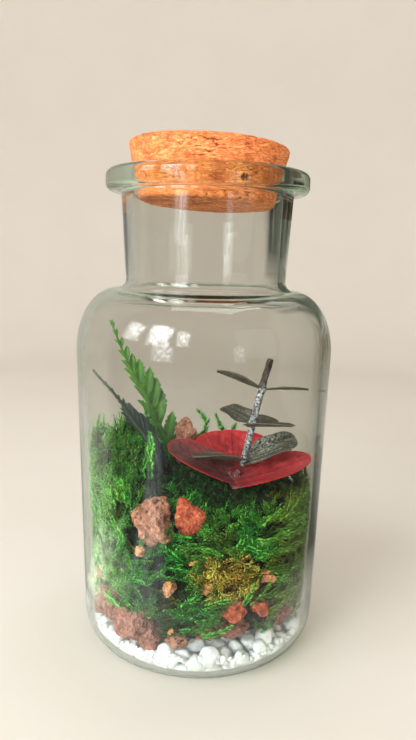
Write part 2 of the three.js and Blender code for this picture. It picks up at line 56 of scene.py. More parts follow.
# %% Place the camera
PHOTO_SIZE = (416, 740)  # pixels
FOCAL_PX = 639.44  # focal length in those pixels
SHIFT_PX = 54  # how far the crop sits above the lens axis
CAMERA_AWAY = 0.20398
CAMERA_UP = 0.12666
CAMERA_PITCH = 0.2574
CAMERA_ROLL = 0.0262
CAMERA_YAW = 0.0092
SENSOR_MM = 36


def camera_axes():
    """The camera's right, up and forward directions."""
    cos_yaw, sin_yaw = math.cos(CAMERA_YAW), math.sin(CAMERA_YAW)
    cos_pitch, sin_pitch = math.cos(CAMERA_PITCH), math.sin(CAMERA_PITCH)
    forward = Vector((sin_yaw * cos_pitch, cos_yaw * cos_pitch, -sin_pitch))
    level = Vector((cos_yaw, -sin_yaw, 0))
    above = level.cross(forward)
    right = math.cos(CAMERA_ROLL) * level + math.sin(CAMERA_ROLL) * above
    up = math.cos(CAMERA_ROLL) * above - math.sin(CAMERA_ROLL) * level
    return right, up, forward


right, up, forward = camera_axes()
eye = Vector((0, -CAMERA_AWAY, CAMERA_UP))
camera = bpy.data.objects.new("camera", bpy.data.cameras.new("camera"))
bpy.context.scene.collection.objects.link(camera)
camera.matrix_world = Matrix.Translation(eye) @ Matrix((right, up, -forward)).transposed().to_4x4()
camera.data.sensor_width = SENSOR_MM
camera.data.lens = FOCAL_PX / PHOTO_SIZE[1] * SENSOR_MM
camera.data.shift_y = SHIFT_PX / PHOTO_SIZE[1]
camera.data.clip_start = 0.01
bpy.context.scene.camera = camera
print("lens in millimetres:", round(camera.data.lens, 2))

# %% [markdown]
# ## Sizes that the pieces share
# All the shapes below are worked out in millimetres, with the jar's foot at zero, and turned into metres
# when they become a mesh. The jar's own radii and heights come first, because everything else has to
# stay inside its wall.

# %% The jar's driving sizes
MM = 0.001
GOLDEN = math.pi * (3 - math.sqrt(5))  # the turn that spreads things evenly round an axis
BODY_R = 40.0
FOOT_R = 39.2
HEEL = (9.0, 11.5)  # how far the heel's curve goes out and up
FOOT_RING_R = 24.0
PUSH_UP = 0.9
SHOULDER_Z = 97.5
SHOULDER_TOP_Z = 116.5
NECK_BASE_R = 24.7
NECK_TOP_R = 25.8
NECK_FILLET = 3.0
LIP_R = 30.4
LIP_Z = (144.5, 150.5)
LIP_CORNER = 2.0
WALL = 2.4
FLOOR_Z = 2.3
INNER_HEEL = (6.6, 8.2)
MOUTH_R = 22.7
MOUTH_ROUND = 1.4
CLEAR = 0.45  # what lies in the jar keeps this far from its wall


def glass_at(height):
    """Inner radius of the jar's body at a height in millimetres."""
    heel_top = FLOOR_Z + INNER_HEEL[1]
    foot = FOOT_R - WALL
    share = np.clip((height - heel_top) / (SHOULDER_Z - heel_top), 0, 1)
    below = np.clip((heel_top - height) / INNER_HEEL[1], 0, 1)
    heel = INNER_HEEL[0] * (1 - np.sqrt(1 - below**2))
    above = np.clip((height - SHOULDER_Z) / (SHOULDER_TOP_Z - SHOULDER_Z - WALL), 0, 1)
    shoulder = (BODY_R - WALL - NECK_BASE_R - NECK_FILLET) * (1 - np.sqrt(1 - above**2))
    return foot + share * (BODY_R - FOOT_R) - heel - shoulder


def inside_glass(points, clear=CLEAR):
    """Draws points that reach the glass back to just inside it."""
    reach = np.hypot(points[..., 0], points[..., 1])
    room = glass_at(points[..., 2]) - clear
    share = np.minimum(1, room / np.maximum(reach, 1e-6))
    kept = points.copy()
    kept[..., 0] *= share
    kept[..., 1] *= share
    kept[..., 2] = np.maximum(kept[..., 2], FLOOR_Z + clear)
    return kept


print("inner radius at mid height:", round(float(glass_at(50)), 2))

# %% [markdown]
# ## Two kinds of noise
# Stone, cork and moss are uneven in a random but smooth way. Blender's textures could push the vertices
# about, but the same noise is also needed to draw colours and to bend thousands of shoots, so it is
# written once for whole arrays of points. One kind gives soft swells, the other gives crumbs and pores.


# %% Soft noise and crumbs
def drawn(cell, seed):
    """A fixed draw from 0 to 1 for every whole-numbered cell."""
    mixed = cell[..., 0] * 374761393 + cell[..., 1] * 668265263 + cell[..., 2] * 1440662683
    mixed = mixed + seed * 1274126177
    mixed = (mixed ^ (mixed >> 13)) * 1274126177
    mixed = mixed ^ (mixed >> 16)
    return (mixed & 0xFFFFFF) / 0xFFFFFF


def swells(points, size, seed=0):
    """Soft noise from -1 to 1, with bumps about `size` millimetres across."""
    place = np.asarray(points, float) / size
    cell = np.floor(place).astype(np.int64)
    part = place - cell
    part = part * part * (3 - 2 * part)
    total = 0
    for corner in itertools.product((0, 1), repeat=3):
        weight = 1
        for axis in range(3):
            weight = weight * (part[..., axis] if corner[axis] else 1 - part[..., axis])
        total = total + weight * drawn(cell + np.array(corner), seed)
    return 2 * total - 1


def crumbs(points, size, seed=0):
    """How far each point is from the nearest and second nearest of scattered seeds, in sizes."""
    place = np.asarray(points, float) / size
    cell = np.floor(place).astype(np.int64)
    first = np.full(place.shape[:-1], 9.0)
    second = first.copy()
    for step in itertools.product((-1, 0, 1), repeat=3):
        near = cell + np.array(step)
        spot = near + np.stack([drawn(near, seed + k) for k in (1, 2, 3)], -1)
        gap = np.linalg.norm(place - spot, axis=-1)
        second = np.minimum(second, np.maximum(first, gap))
        first = np.minimum(first, gap)
    return first, second


def unit(vectors):
    """Vectors of length one."""
    vectors = np.asarray(vectors, float)
    return vectors / np.maximum(np.linalg.norm(vectors, axis=-1, keepdims=True), 1e-9)


def from_axis(points):
    """Level directions from the jar's axis to the points."""
    return unit(np.asarray(points) * np.array([1, 1, 0]))


def dot(a, b):
    """How far vectors run along others."""
    return np.sum(np.asarray(a) * np.asarray(b), axis=-1)


def smooth(low, high, value):
    """0 below low, 1 above high and an easy curve between them."""
    share = np.clip((value - low) / (high - low), 0, 1)
    return share * share * (3 - 2 * share)


print("a soft draw:", round(float(swells(np.array([[1.5, 2.5, 3.5]]), 2.0)[0]), 3))

# %% [markdown]
# ## From many small shapes to one mesh
# A frond or a moss cushion is one piece made of hundreds of small shapes. Blender could join objects one
# by one, but that is slow, so a heap gathers their points and faces and becomes a mesh once. It also
# keeps marks, which are numbers at each point, such as how near a vein the point is. A finish reads them
# as attributes. Each made piece rides on the frame and replaces its plain solid.


# %% Gather shapes and make a piece
class Heap:
    """Points, faces and marks of many small shapes that become one mesh."""

    def __init__(self):
        self.points = []
        self.faces = []
        self.marks = {}
        self.count = 0

    def add(self, points, faces, **marks):
        points = np.asarray(points, float).reshape(-1, 3)
        for block in faces:
            self.faces += (np.asarray(block) + self.count).tolist()
        for name, value in marks.items():
            spread = np.broadcast_to(np.asarray(value, float).ravel(), len(points))
            self.marks.setdefault(name, []).append(spread)
        self.points.append(points)
        self.count += len(points)


def in_scene(name, points, faces, finish):
    """A smooth object in the scene, from points in millimetres."""
    mesh = bpy.data.meshes.new(name)
    mesh.from_pydata((np.asarray(points) * MM).tolist(), [], faces)
    mesh.polygons.foreach_set("use_smooth", [True] * len(mesh.polygons))
    mesh.materials.append(finish)
    mesh.update()
    made = bpy.data.objects.new(name, mesh)
    bpy.context.scene.collection.objects.link(made)
    print(f"{name}: {len(mesh.vertices)} points, {len(mesh.polygons)} faces")
    return made


def piece(name, heap, finish, slot, *nodes):
    """Makes the heap one object that takes the place of the nodes."""
    made = in_scene(name, np.concatenate(heap.points), heap.faces, finish)
    for label, values in heap.marks.items():
        attribute = made.data.attributes.new(label, "FLOAT", "POINT")
        attribute.data.foreach_set("value", np.concatenate(values).astype(np.float32))
    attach(made, "root")
    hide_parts(*nodes)


def net(rows, columns, wrap=True):
    """Four-sided faces between rows of points. With wrap, the last column meets the first."""
    row, column = np.meshgrid(
        np.arange(rows - 1), np.arange(columns if wrap else columns - 1), indexing="ij"
    )
    after = (column + 1) % columns
    corners = [row * columns + column, row * columns + after]
    corners += [(row + 1) * columns + after, (row + 1) * columns + column]
    return np.stack(corners, -1).reshape(-1, 4)


def fan(ring, centre, outward=True):
    """Triangles from a ring of points to one point."""
    ring = np.asarray(ring)
    after = np.roll(ring, -1)
    pair = (ring, after) if outward else (after, ring)
    return np.stack([*pair, np.full(len(ring), centre)], -1)


def capped(rings, bottom, top):
    """Points and faces of a closed skin: rings of points, and one point at each end."""
    rows, around = rings.shape[:2]
    last = rows * around
    points = np.concatenate([rings.reshape(-1, 3), [bottom, top]])
    ends = [fan(range(around), last, outward=False), fan(last - around + np.arange(around), last + 1)]
    return points, [net(rows, around), *ends]


def two_layers(rows, columns):
    """Faces of a thin blade: an upper and a lower sheet of points, and the hem between them."""
    line = columns + 1
    layer = (rows + 1) * line
    sheet = net(rows + 1, line, wrap=False)
    rim = [*range(columns), *(i * line + columns for i in range(rows))]
    rim += [*(rows * line + j for j in range(columns, 0, -1)), *(i * line for i in range(rows, 0, -1))]
    rim = np.array(rim)
    after = np.roll(rim, -1)
    hem = np.stack([rim, after, after + layer, rim + layer], -1)
    return [sheet[:, ::-1], sheet + layer, hem]


# %% Turn a profile round the jar's axis
def arc(centre, reach, start, end, steps):
    """Points on an ellipse's arc, angles in degrees, without its first point."""
    angles = np.radians(start + (end - start) * np.arange(1, steps + 1) / steps)
    return [(centre[0] + reach[0] * math.cos(a), centre[1] + reach[1] * math.sin(a)) for a in angles]


def straight(start, end, steps):
    """Evenly spaced points from start to end, without the first."""
    start, end = np.array(start), np.array(end)
    return [tuple(start + (end - start) * k / steps) for k in range(1, steps + 1)]


def round_axis(radius, angle, height):
    """Points at a distance from the jar's axis, an angle round it and a height."""
    return np.stack(np.broadcast_arrays(radius * np.cos(angle), radius * np.sin(angle), height), -1)


def turned(profile, around):
    """Rings of points for a profile of (radius, height)."""
    radius, height = np.array(profile, float).T[..., None]
    return round_axis(radius, 2 * np.pi * np.arange(around) / around, height)


# %% [markdown]
# ## Tools for the finishes
# Every finish is a Principled shader whose colour, roughness and fine relief come from noise in the
# object's own space, so no picture is needed and nothing slides when the camera moves. Effects that
# several finishes share are node groups: a mottle of three colours, scattered specks, and a fine grain.


# %% Build nodes in few words
def paint(red, green, blue):
    """A colour picked in screen values from 0 to 255, as the linear colour that a shader needs."""
    share = np.array([red, green, blue]) / 255
    linear = np.where(share <= 0.04045, share / 12.92, ((share + 0.055) / 1.055) ** 2.4)
    return (*linear.tolist(), 1.0)


def add(tree, kind, settings=None, **sockets):
    """Adds a node. A socket gets a plain value or another node's output; i0, i1 mean its number."""
    node = tree.nodes.new(kind)
    for key, value in (settings or {}).items():
        setattr(node, key, value)
    for key, value in sockets.items():
        numbered = key[0] == "i" and key[1:].isdigit()
        socket = node.inputs[int(key[1:])] if numbered else node.inputs[key.replace("_", " ")]
        if isinstance(value, bpy.types.NodeSocket):
            tree.links.new(value, socket)
        else:
            socket.default_value = value
    return node


def blend(tree, factor, first, second, how="MIX"):
    """A colour between two, by a factor."""
    settings = {"data_type": "RGBA", "blend_type": how}
    return add(tree, "ShaderNodeMix", settings, i0=factor, i6=first, i7=second).outputs[2]


def sums(tree, what, *values):
    """One step of arithmetic on numbers."""
    sockets = {f"i{k}": value for k, value in enumerate(values)}
    return add(tree, "ShaderNodeMath", {"operation": what}, **sockets).outputs[0]


def between(tree, value, low, high, to_low=0.0, to_high=1.0):
    """Stretches a value from one range to another, and holds it at both ends."""
    return add(
        tree, "ShaderNodeMapRange", i0=value, i1=low, i2=high, i3=to_low, i4=to_high
    ).outputs[0]


def mark(tree, name):
    """A number that the mesh carries at each point."""
    return add(tree, "ShaderNodeAttribute", {"attribute_name": name}).outputs["Fac"]


def new_group(name, inputs, outputs):
    """An empty node group with named inputs and outputs."""
    group = bpy.data.node_groups.new(name, "ShaderNodeTree")
    for label, (kind, value) in inputs.items():
        socket = group.interface.new_socket(label, in_out="INPUT", socket_type=kind)
        socket.default_value = value
    for label, kind in outputs.items():
        group.interface.new_socket(label, in_out="OUTPUT", socket_type=kind)
    return group, group.nodes.new("NodeGroupInput").outputs, group.nodes.new("NodeGroupOutput").inputs


def use(tree, group, **sockets):
    """Places a node group with its own values and gives its outputs."""
    return add(tree, "ShaderNodeGroup", {"node_tree": group}, **sockets).outputs


NUMBER = "NodeSocketFloat"
COLOUR = "NodeSocketColor"
VECTOR = "NodeSocketVector"


def in_millimetres(tree, stretch):
    """The point's place on the object in millimetres, stretched by three shares."""
    place = add(tree, "ShaderNodeTexCoord").outputs["Object"]
    scaled = add(tree, "ShaderNodeVectorMath", {"operation": "SCALE"}, Vector=place, Scale=1 / MM)
    return add(
        tree, "ShaderNodeVectorMath", {"operation": "MULTIPLY"}, i0=scaled.outputs[0], i1=stretch
    ).outputs[0]


# %% The mottle group
def make_mottle():
    """Three colours that run into each other, with patches of a given size."""
    inputs = {
        "Dark": (COLOUR, (0.1, 0.1, 0.1, 1)),
        "Middle": (COLOUR, (0.5, 0.5, 0.5, 1)),
        "Light": (COLOUR, (0.9, 0.9, 0.9, 1)),
        "Size": (NUMBER, 2.0),
        "Distortion": (NUMBER, 0.6),
        "Stretch": (VECTOR, (1, 1, 1)),
    }
    group, given, result = new_group("mottle", inputs, {"Color": COLOUR, "Value": NUMBER})
    place = in_millimetres(group, given["Stretch"])
    scale = sums(group, "DIVIDE", 1.0, given["Size"])
    noise = add(
        group, "ShaderNodeTexNoise", Vector=place, Scale=scale, Detail=4.0, Roughness=0.62,
        Distortion=given["Distortion"],
    ).outputs[0]
    low = blend(group, between(group, noise, 0.32, 0.5), given["Dark"], given["Middle"])
    colour = blend(group, between(group, noise, 0.5, 0.68), low, given["Light"])
    group.links.new(colour, result["Color"])
    group.links.new(noise, result["Value"])
    return group


mottle = make_mottle()


# %% The specks group
def make_specks():
    """A mask of scattered specks: dust, bloom or grit. Coverage is the share that it covers."""
    inputs = {"Size": (NUMBER, 0.6), "Coverage": (NUMBER, 0.3), "Softness": (NUMBER, 0.1)}
    group, given, result = new_group("specks", inputs, {"Mask": NUMBER})
    place = in_millimetres(group, (1, 1, 1))
    scale = sums(group, "DIVIDE", 1.0, given["Size"])
    noise = add(
        group, "ShaderNodeTexNoise", Vector=place, Scale=scale, Detail=3.0, Roughness=0.7
    ).outputs[0]
    edge = between(group, given["Coverage"], 0.0, 1.0, 0.72, 0.28)
    top = sums(group, "ADD", edge, given["Softness"])
    group.links.new(between(group, noise, edge, top), result["Mask"])
    return group


specks = make_specks()


# %% The grain group
def make_grain():
    """A height for fine relief: soft noise with tiny pits in it."""
    inputs = {"Size": (NUMBER, 0.4), "Pits": (NUMBER, 0.5)}
    group, given, result = new_group("fine_grain", inputs, {"Height": NUMBER})
    place = in_millimetres(group, (1, 1, 1))
    scale = sums(group, "DIVIDE", 1.0, given["Size"])
    noise = add(group, "ShaderNodeTexNoise", Vector=place, Scale=scale, Detail=3.0).outputs[0]
    cells = add(group, "ShaderNodeTexVoronoi", Vector=place, Scale=scale).outputs["Distance"]
    pits = sums(group, "MULTIPLY", between(group, cells, 0.0, 0.45), given["Pits"])
    group.links.new(sums(group, "ADD", noise, pits), result["Height"])
    return group


fine_grain = make_grain()
print("node groups:", [g.name for g in bpy.data.node_groups])


# %% Start a finish
def new_finish(name, **plain):
    """A material with one Principled shader, whose plain values are set on its own sockets."""
    material = bpy.data.materials.new(name)
    material.use_nodes = True
    shader = material.node_tree.nodes["Principled BSDF"]
    for key, value in plain.items():
        shader.inputs[key.replace("_", " ")].default_value = value
    return material, material.node_tree, shader.inputs


def mottled(tree, colours, size, **more):
    """A mottle of a dark, a middle and a light colour, picked in screen values."""
    dark, middle, light = (paint(*colour) for colour in colours)
    return use(tree, mottle, Dark=dark, Middle=middle, Light=light, Size=size, **more)["Color"]


def speckled(tree, size, coverage, softness):
    """A mask of scattered specks."""
    return use(tree, specks, Size=size, Coverage=coverage, Softness=softness)["Mask"]


def over(tree, body, colour, mask, share):
    """The body with a colour laid over it where the mask says, as thickly as the share."""
    return blend(tree, sums(tree, "MULTIPLY", mask, share), body, colour)


def relief(tree, target, size, pits, strength, depth_mm):
    """Fine grain with pits on the shader's Normal."""
    height = use(tree, fine_grain, Size=size, Pits=pits)["Height"]
    bump = add(tree, "ShaderNodeBump", Height=height, Strength=strength, Distance=depth_mm * MM)
    tree.links.new(bump.outputs[0], target["Normal"])


# %% [markdown]
# ## The studio
# The jar stands on a plain pale floor that runs up into a round wall, like the sweep of a product table,
# so every side has the same quiet background. The photo's light comes from a window at the left. Glass
# shows lamps as reflections, so lighting and mirroring are kept apart: three panes and two low strips draw
# the window on the shoulder and the streaks in the neck, and two small lamps on the floor draw a gleam and
# a pale green veil low on the glass. A hidden window lamp, a fill, a foot and a top lamp light the
# planting without a reflection. Two cards behind the jar give it the dark band at the right of the neck
# and the beige tone below.

# %% Floor and wall in one sweep
SWEEP_R = 900.0
SWEEP_CURVE = 350.0
SWEEP_H = 1500.0
SWEEP_SIDES = 96


def mirrored(tree):
    """1 for what the glass mirrors of the studio's near and right side. The floor is painted dim there, as a
    painted reflection, so no veil forms.
    """
    bounces = sums(tree, "MINIMUM", add(tree, "ShaderNodeLightPath").outputs["Glossy Depth"], 1.0)
    place = add(tree, "ShaderNodeTexCoord").outputs["Object"]
    flat = add(tree, "ShaderNodeVectorMath", {"operation": "MULTIPLY"}, i0=place, i1=(1, 1, 0))
    away = add(tree, "ShaderNodeVectorMath", {"operation": "LENGTH"}, i0=flat.outputs[0]).outputs["Value"]
    parts = add(tree, "ShaderNodeSeparateXYZ", Vector=place).outputs
    near = between(tree, parts["Y"], 0.0, -0.04)
    right = between(tree, sums(tree, "DIVIDE", parts["X"], away), 0.5, 0.85, 0.0, 0.95)
    past_jar = between(tree, away, 0.065, 0.1)
    side = sums(tree, "MULTIPLY", sums(tree, "MAXIMUM", near, right), past_jar)
    return sums(tree, "MULTIPLY", bounces, side)


def behind_glass(tree):
    """1 for what is seen through both walls of the jar."""
    return between(tree, add(tree, "ShaderNodeLightPath").outputs["Transmission Depth"], 1.0, 4.0)


def floor_finish():
    """Pale paint, a little darker and warmer where it is seen through the jar, as in the photo."""
    material, tree, target = new_finish("pale_floor", Roughness=0.85)
    place = add(tree, "ShaderNodeTexCoord").outputs["Object"]
    noise = add(tree, "ShaderNodeTexNoise", Vector=place, Scale=14.0, Detail=2.0).outputs[0]
    pale = blend(tree, noise, paint(203, 196, 186), paint(208, 202, 193))
    # Painted shade: where the floor is seen through the jar it is painted darker and warmer.
    pale = blend(tree, behind_glass(tree), pale, paint(192, 182, 172))
    # Painted reflection: where the glass mirrors the near and right side, the floor is painted dark.
    colour = blend(tree, mirrored(tree), pale, paint(74, 74, 68))
    tree.links.new(colour, target["Base Color"])
    return material


def make_sweep():
    """The floor and the round wall as one turned skin."""
    flat_r = SWEEP_R - SWEEP_CURVE
    profile = [(60.0, 0.0), (300.0, 0.0), (flat_r, 0.0)]
    profile += arc((flat_r, SWEEP_CURVE), (SWEEP_CURVE, SWEEP_CURVE), -90, 0, 24) + [(SWEEP_R, SWEEP_H)]
    points = np.concatenate([turned(profile, SWEEP_SIDES).reshape(-1, 3), [[0, 0, 0.0]]])
    middle = fan(range(SWEEP_SIDES), len(profile) * SWEEP_SIDES, outward=False)
    heap = Heap()
    heap.add(points, [net(len(profile), SWEEP_SIDES), middle])
    in_scene("sweep", points, heap.faces, floor_finish())


make_sweep()


# %% Lamps
def lamp(name, place, aim, size, watts, colour, seen=True, through=True, lights=True, spin=0.0):
    """A soft rectangular lamp that looks at a point, turned about its own axis by `spin`."""
    light = bpy.data.lights.new(name, "AREA")
    light.shape = "RECTANGLE"
    light.size, light.size_y = size
    light.energy = watts
    light.color = colour
    made = bpy.data.objects.new(name, light)
    made.location = place
    facing = (Vector(aim) - Vector(place)).to_track_quat("-Z", "Y").to_matrix()
    made.rotation_euler = (facing @ Matrix.Rotation(spin, 3, "Z")).to_euler()
    made.visible_camera = False
    made.visible_glossy = seen
    made.visible_transmission = through
    made.visible_diffuse = lights
    bpy.context.scene.collection.objects.link(made)
    return light


MIDDLE = (0, 0, 0.07)
WINDOW_AT = (-0.57, -0.5, 0.48)
WINDOW_ALONG = (0.72, -0.7)
WINDOW_H = 0.42
# place along the window, width and watts
PANES = ((-0.28, 0.3, 2.4), (0.1, 0.34, 5.0), (0.42, 0.2, 1.4))
WINDOW_BLUE = (0.93, 0.96, 1.0)
GLEAM_AT = (-0.11, -0.136, 0.003)
GLEAM_SPIN = 0.664  # lays the gleam along the line from the jar towards the window
VEIL_AT = (-0.095, -0.022, 0.003)  # the jar mirrors this one over its left side, as a pale green veil
VEIL_GREEN = (0.75, 1.0, 0.6)
WARM = (1.0, 0.98, 0.95)
HIDDEN = {"seen": False, "through": False}  # a lamp that lights and leaves no mark on the glass


def uneven_glow(light):
    """A window isn't evenly bright: it has trees and twigs behind it and a frame round it."""
    light.use_nodes = True
    tree = light.node_tree
    spot = add(tree, "ShaderNodeNewGeometry").outputs["Parametric"]
    noise, lines = (
        add(tree, "ShaderNodeTexNoise", Vector=spot, Scale=scale, Detail=detail, Distortion=twist).outputs[0]
        for scale, detail, twist in ((3.4, 3.0, 1.2), (2.3, 2.0, 2.0))
    )
    twigs = sums(tree, "ABSOLUTE", sums(tree, "SUBTRACT", lines, 0.5))
    parts = add(tree, "ShaderNodeSeparateXYZ", Vector=spot).outputs
    inset = [sums(tree, "PINGPONG", parts[axis], 0.5) for axis in ("X", "Y")]
    edge = between(tree, sums(tree, "MINIMUM", *inset), 0.0, 0.24)
    glow = sums(tree, "MULTIPLY", edge, between(tree, noise, 0.36, 0.6, 0.3, 1.9))
    glow = sums(tree, "MULTIPLY", glow, between(tree, twigs, 0.0, 0.03, 0.35, 1.0))
    tree.links.new(glow, tree.nodes["Emission"].inputs["Strength"])


for k, (along, width, watts) in enumerate(PANES):
    place = (WINDOW_AT[0] + WINDOW_ALONG[0] * along, WINDOW_AT[1] + WINDOW_ALONG[1] * along, WINDOW_AT[2])
    uneven_glow(lamp(f"window_{k}", place, MIDDLE, (width, WINDOW_H), watts, WINDOW_BLUE))
lamp("window_light", WINDOW_AT, MIDDLE, (0.6, WINDOW_H), 4.4, WINDOW_BLUE, **HIDDEN)
uneven_glow(lamp("low_strip_left", (-0.43, -0.61, 0.17), MIDDLE, (0.28, 0.3), 0.9, WINDOW_BLUE))
uneven_glow(lamp("low_strip_right", (0.36, -0.64, 0.2), MIDDLE, (0.15, 0.26), 0.18, WINDOW_BLUE))
uneven_glow(lamp(
    "floor_gleam", GLEAM_AT, (*GLEAM_AT[:2], 1.0), (0.06, 0.25), 0.06, WINDOW_BLUE,
    through=False, spin=GLEAM_SPIN,
))
uneven_glow(lamp(
    "green_veil", VEIL_AT, (*VEIL_AT[:2], 1.0), (0.08, 0.086), 0.06, VEIL_GREEN,
    through=False, lights=False,
))
lamp("fill_light", (0.55, -0.5, 0.35), MIDDLE, (0.5, 0.5), 0.7, WARM, seen=False)
lamp("foot_light", (-0.16, -0.42, 0.06), (0, 0, 0.015), (0.4, 0.12), 0.8, WINDOW_BLUE, **HIDDEN)
lamp("top_light", (0.08, 0.2, 1.3), MIDDLE, (0.8, 0.8), 8.0, WARM, seen=False)
print("lamps:", [light.name for light in bpy.data.lights])


# %% Cards that only the glass sees
CARD_Y = 0.3
CARDS = {  # corners in X and Z, how far the near edges fade, and three colours
    "dark_card": ((0.07, 0.33), (0.118, 0.32), 0.028, ((14, 20, 14), (34, 42, 32), (104, 110, 94))),
    "brown_card": ((0.12, 0.45), (0.0, 0.112), 0.05, ((88, 72, 58), (136, 118, 100), (186, 172, 154))),
}


def card_finish(name, across, upright, fade, colours):
    material, tree, target = new_finish(name, Roughness=0.9)
    body = mottled(tree, colours, size=26.0, Distortion=0.4, Stretch=(1, 1, 0.3))
    tree.links.new(body, target["Base Color"])
    place = add(tree, "ShaderNodeTexCoord").outputs["Object"]
    parts = add(tree, "ShaderNodeSeparateXYZ", Vector=place).outputs
    beside = between(tree, parts["X"], across[0], across[0] + fade)
    below = between(tree, parts["Z"], upright[0], upright[0] + fade)
    tree.links.new(sums(tree, "MULTIPLY", beside, below), target["Alpha"])
    return material


def make_card(name, across, upright, fade, colours):
    """A card behind the jar, seen only through and in the glass."""
    (left, right), (low, high) = across, upright
    corners = np.array([(x, CARD_Y, z) for x, z in ((left, low), (right, low), (right, high), (left, high))])
    card = in_scene(name, corners / MM, [(0, 1, 2, 3)], card_finish(name, across, upright, fade, colours))
    card.visible_camera = False
    card.visible_diffuse = False
    card.visible_shadow = False


for name, card in CARDS.items():
    make_card(name, *card)

# %% Daylight
ROOM_COLOUR = paint(232, 226, 214)
ROOM_LIGHT = 0.22
MIRRORED_LIGHT = 0.05  # the room behind the viewer is dim, so the glass stays clear


def make_room():
    """Daylight all round. What the glass mirrors of it is dim."""
    world = bpy.data.worlds.new("soft_daylight")
    world.use_nodes = True
    tree = world.node_tree
    bounces = add(tree, "ShaderNodeLightPath").outputs["Glossy Depth"]
    strength = between(tree, bounces, 0.0, 1.0, ROOM_LIGHT, MIRRORED_LIGHT)
    background = tree.nodes["Background"].inputs
    background["Color"].default_value = ROOM_COLOUR
    tree.links.new(strength, background["Strength"])
    return world


bpy.context.scene.world = make_room()
bpy.context.scene.view_settings.view_transform = "Standard"
print("daylight:", ROOM_LIGHT, "and mirrored:", MIRRORED_LIGHT)

# %% [markdown]
# ## The glass jar
# The jar is blown and pressed glass: a foot ring round a shallow push-up, a curved heel, a straight body,
# a round shoulder and a thick lip. Screwing a profile round an axis gives that form. It is done in code
# here, because the inner wall of a real jar is a little uneven, and that unevenness, longer upright than
# round, is what pulls the reflections into soft upright streaks. The wall is a true wall with an inside
# and an outside, so it bends the light at its edges as real glass does.

# %% The jar's finish
GLASS_DEPTH = 70.0  # how strongly a thick stretch of glass colours the light, per metre


def glass_finish():
    """Clear glass, green where it is thick. Lamps shine straight through it, so the inside is lit.

    Light that the wall has mirrored twice also goes straight on. Otherwise it circles in the thick neck
    base until the renderer drops it, and that leaves a black line that no real jar has.
    """
    material, tree, target = new_finish(
        "clear_glass", Base_Color=(0.985, 0.99, 0.98, 1), Roughness=0.015, IOR=1.5, Transmission_Weight=1.0,
        Specular_IOR_Level=0.22
    )
    nodes = tree.nodes
    path = add(tree, "ShaderNodeLightPath").outputs
    passes = sums(tree, "MAXIMUM", path["Is Shadow Ray"], path["Is Diffuse Ray"])
    caught = sums(tree, "GREATER_THAN", path["Glossy Depth"], 1.5)
    passes = sums(tree, "MAXIMUM", passes, caught)
    clear = add(tree, "ShaderNodeBsdfTransparent", Color=(0.95, 0.96, 0.94, 1)).outputs[0]
    glass = nodes["Principled BSDF"].outputs[0]
    both = add(tree, "ShaderNodeMixShader", i0=passes, i1=glass, i2=clear).outputs[0]
    tree.links.new(both, nodes["Material Output"].inputs["Surface"])
    depth = add(
        tree, "ShaderNodeVolumeAbsorption", Color=(0.75, 0.88, 0.74, 1), Density=GLASS_DEPTH
    ).outputs[0]
    tree.links.new(depth, nodes["Material Output"].inputs["Volume"])
    return material


# %% The jar's profile and mesh
AROUND_JAR = 192


def jar_profile():
    """(radius, height) from the foot up the outside, over the lip and down the inside."""
    turn_r = NECK_BASE_R + NECK_FILLET
    ring_r = FOOT_RING_R + 1.5
    push = [(r, PUSH_UP * (1 - float(smooth(17.5, ring_r, r)))) for r in np.linspace(4, ring_r, 12)]
    outside = [*push, (27.5, 0.0), (FOOT_R - HEEL[0], 0.0)]
    outside += arc((FOOT_R - HEEL[0], HEEL[1]), HEEL, -90, 0, 12)
    outside += straight((FOOT_R, HEEL[1]), (BODY_R, SHOULDER_Z), 26)
    rise = SHOULDER_TOP_Z - SHOULDER_Z
    outside += arc((turn_r, SHOULDER_Z), (BODY_R - turn_r, rise), 0, 90, 20)
    outside += arc((turn_r, SHOULDER_TOP_Z + NECK_FILLET), (NECK_FILLET, NECK_FILLET), 270, 180, 8)
    collar = 1.1
    outside += straight(outside[-1], (NECK_TOP_R, LIP_Z[0] - collar), 9)
    outside += arc((NECK_TOP_R + collar, LIP_Z[0] - collar), (collar, collar), 180, 90, 5)
    outside += [(LIP_R - LIP_CORNER, LIP_Z[0])]
    outside += arc((LIP_R - LIP_CORNER, LIP_Z[0] + LIP_CORNER), (LIP_CORNER, LIP_CORNER), -90, 0, 8)
    outside += arc((LIP_R - LIP_CORNER, LIP_Z[1] - LIP_CORNER), (LIP_CORNER, LIP_CORNER), 0, 90, 8)
    body_r, foot_r = BODY_R - WALL, FOOT_R - WALL
    fillet = NECK_FILLET + WALL
    inside = [(r, FLOOR_Z) for r in np.linspace(5, foot_r - INNER_HEEL[0], 7)]
    inside += arc((foot_r - INNER_HEEL[0], FLOOR_Z + INNER_HEEL[1]), INNER_HEEL, -90, 0, 10)
    inside += straight((foot_r, FLOOR_Z + INNER_HEEL[1]), (body_r, SHOULDER_Z), 26)
    inside += arc((turn_r, SHOULDER_Z), (body_r - turn_r, rise - WALL), 0, 90, 20)
    inside += arc((turn_r, SHOULDER_TOP_Z + NECK_FILLET), (fillet, fillet), 270, 180, 8)
    inside += straight(inside[-1], (MOUTH_R, LIP_Z[1] - MOUTH_ROUND), 9)
    mouth = (MOUTH_R + MOUTH_ROUND, LIP_Z[1] - MOUTH_ROUND)
    inside += arc(mouth, (MOUTH_ROUND, MOUTH_ROUND), 180, 90, 6)
    return outside, inside[::-1]


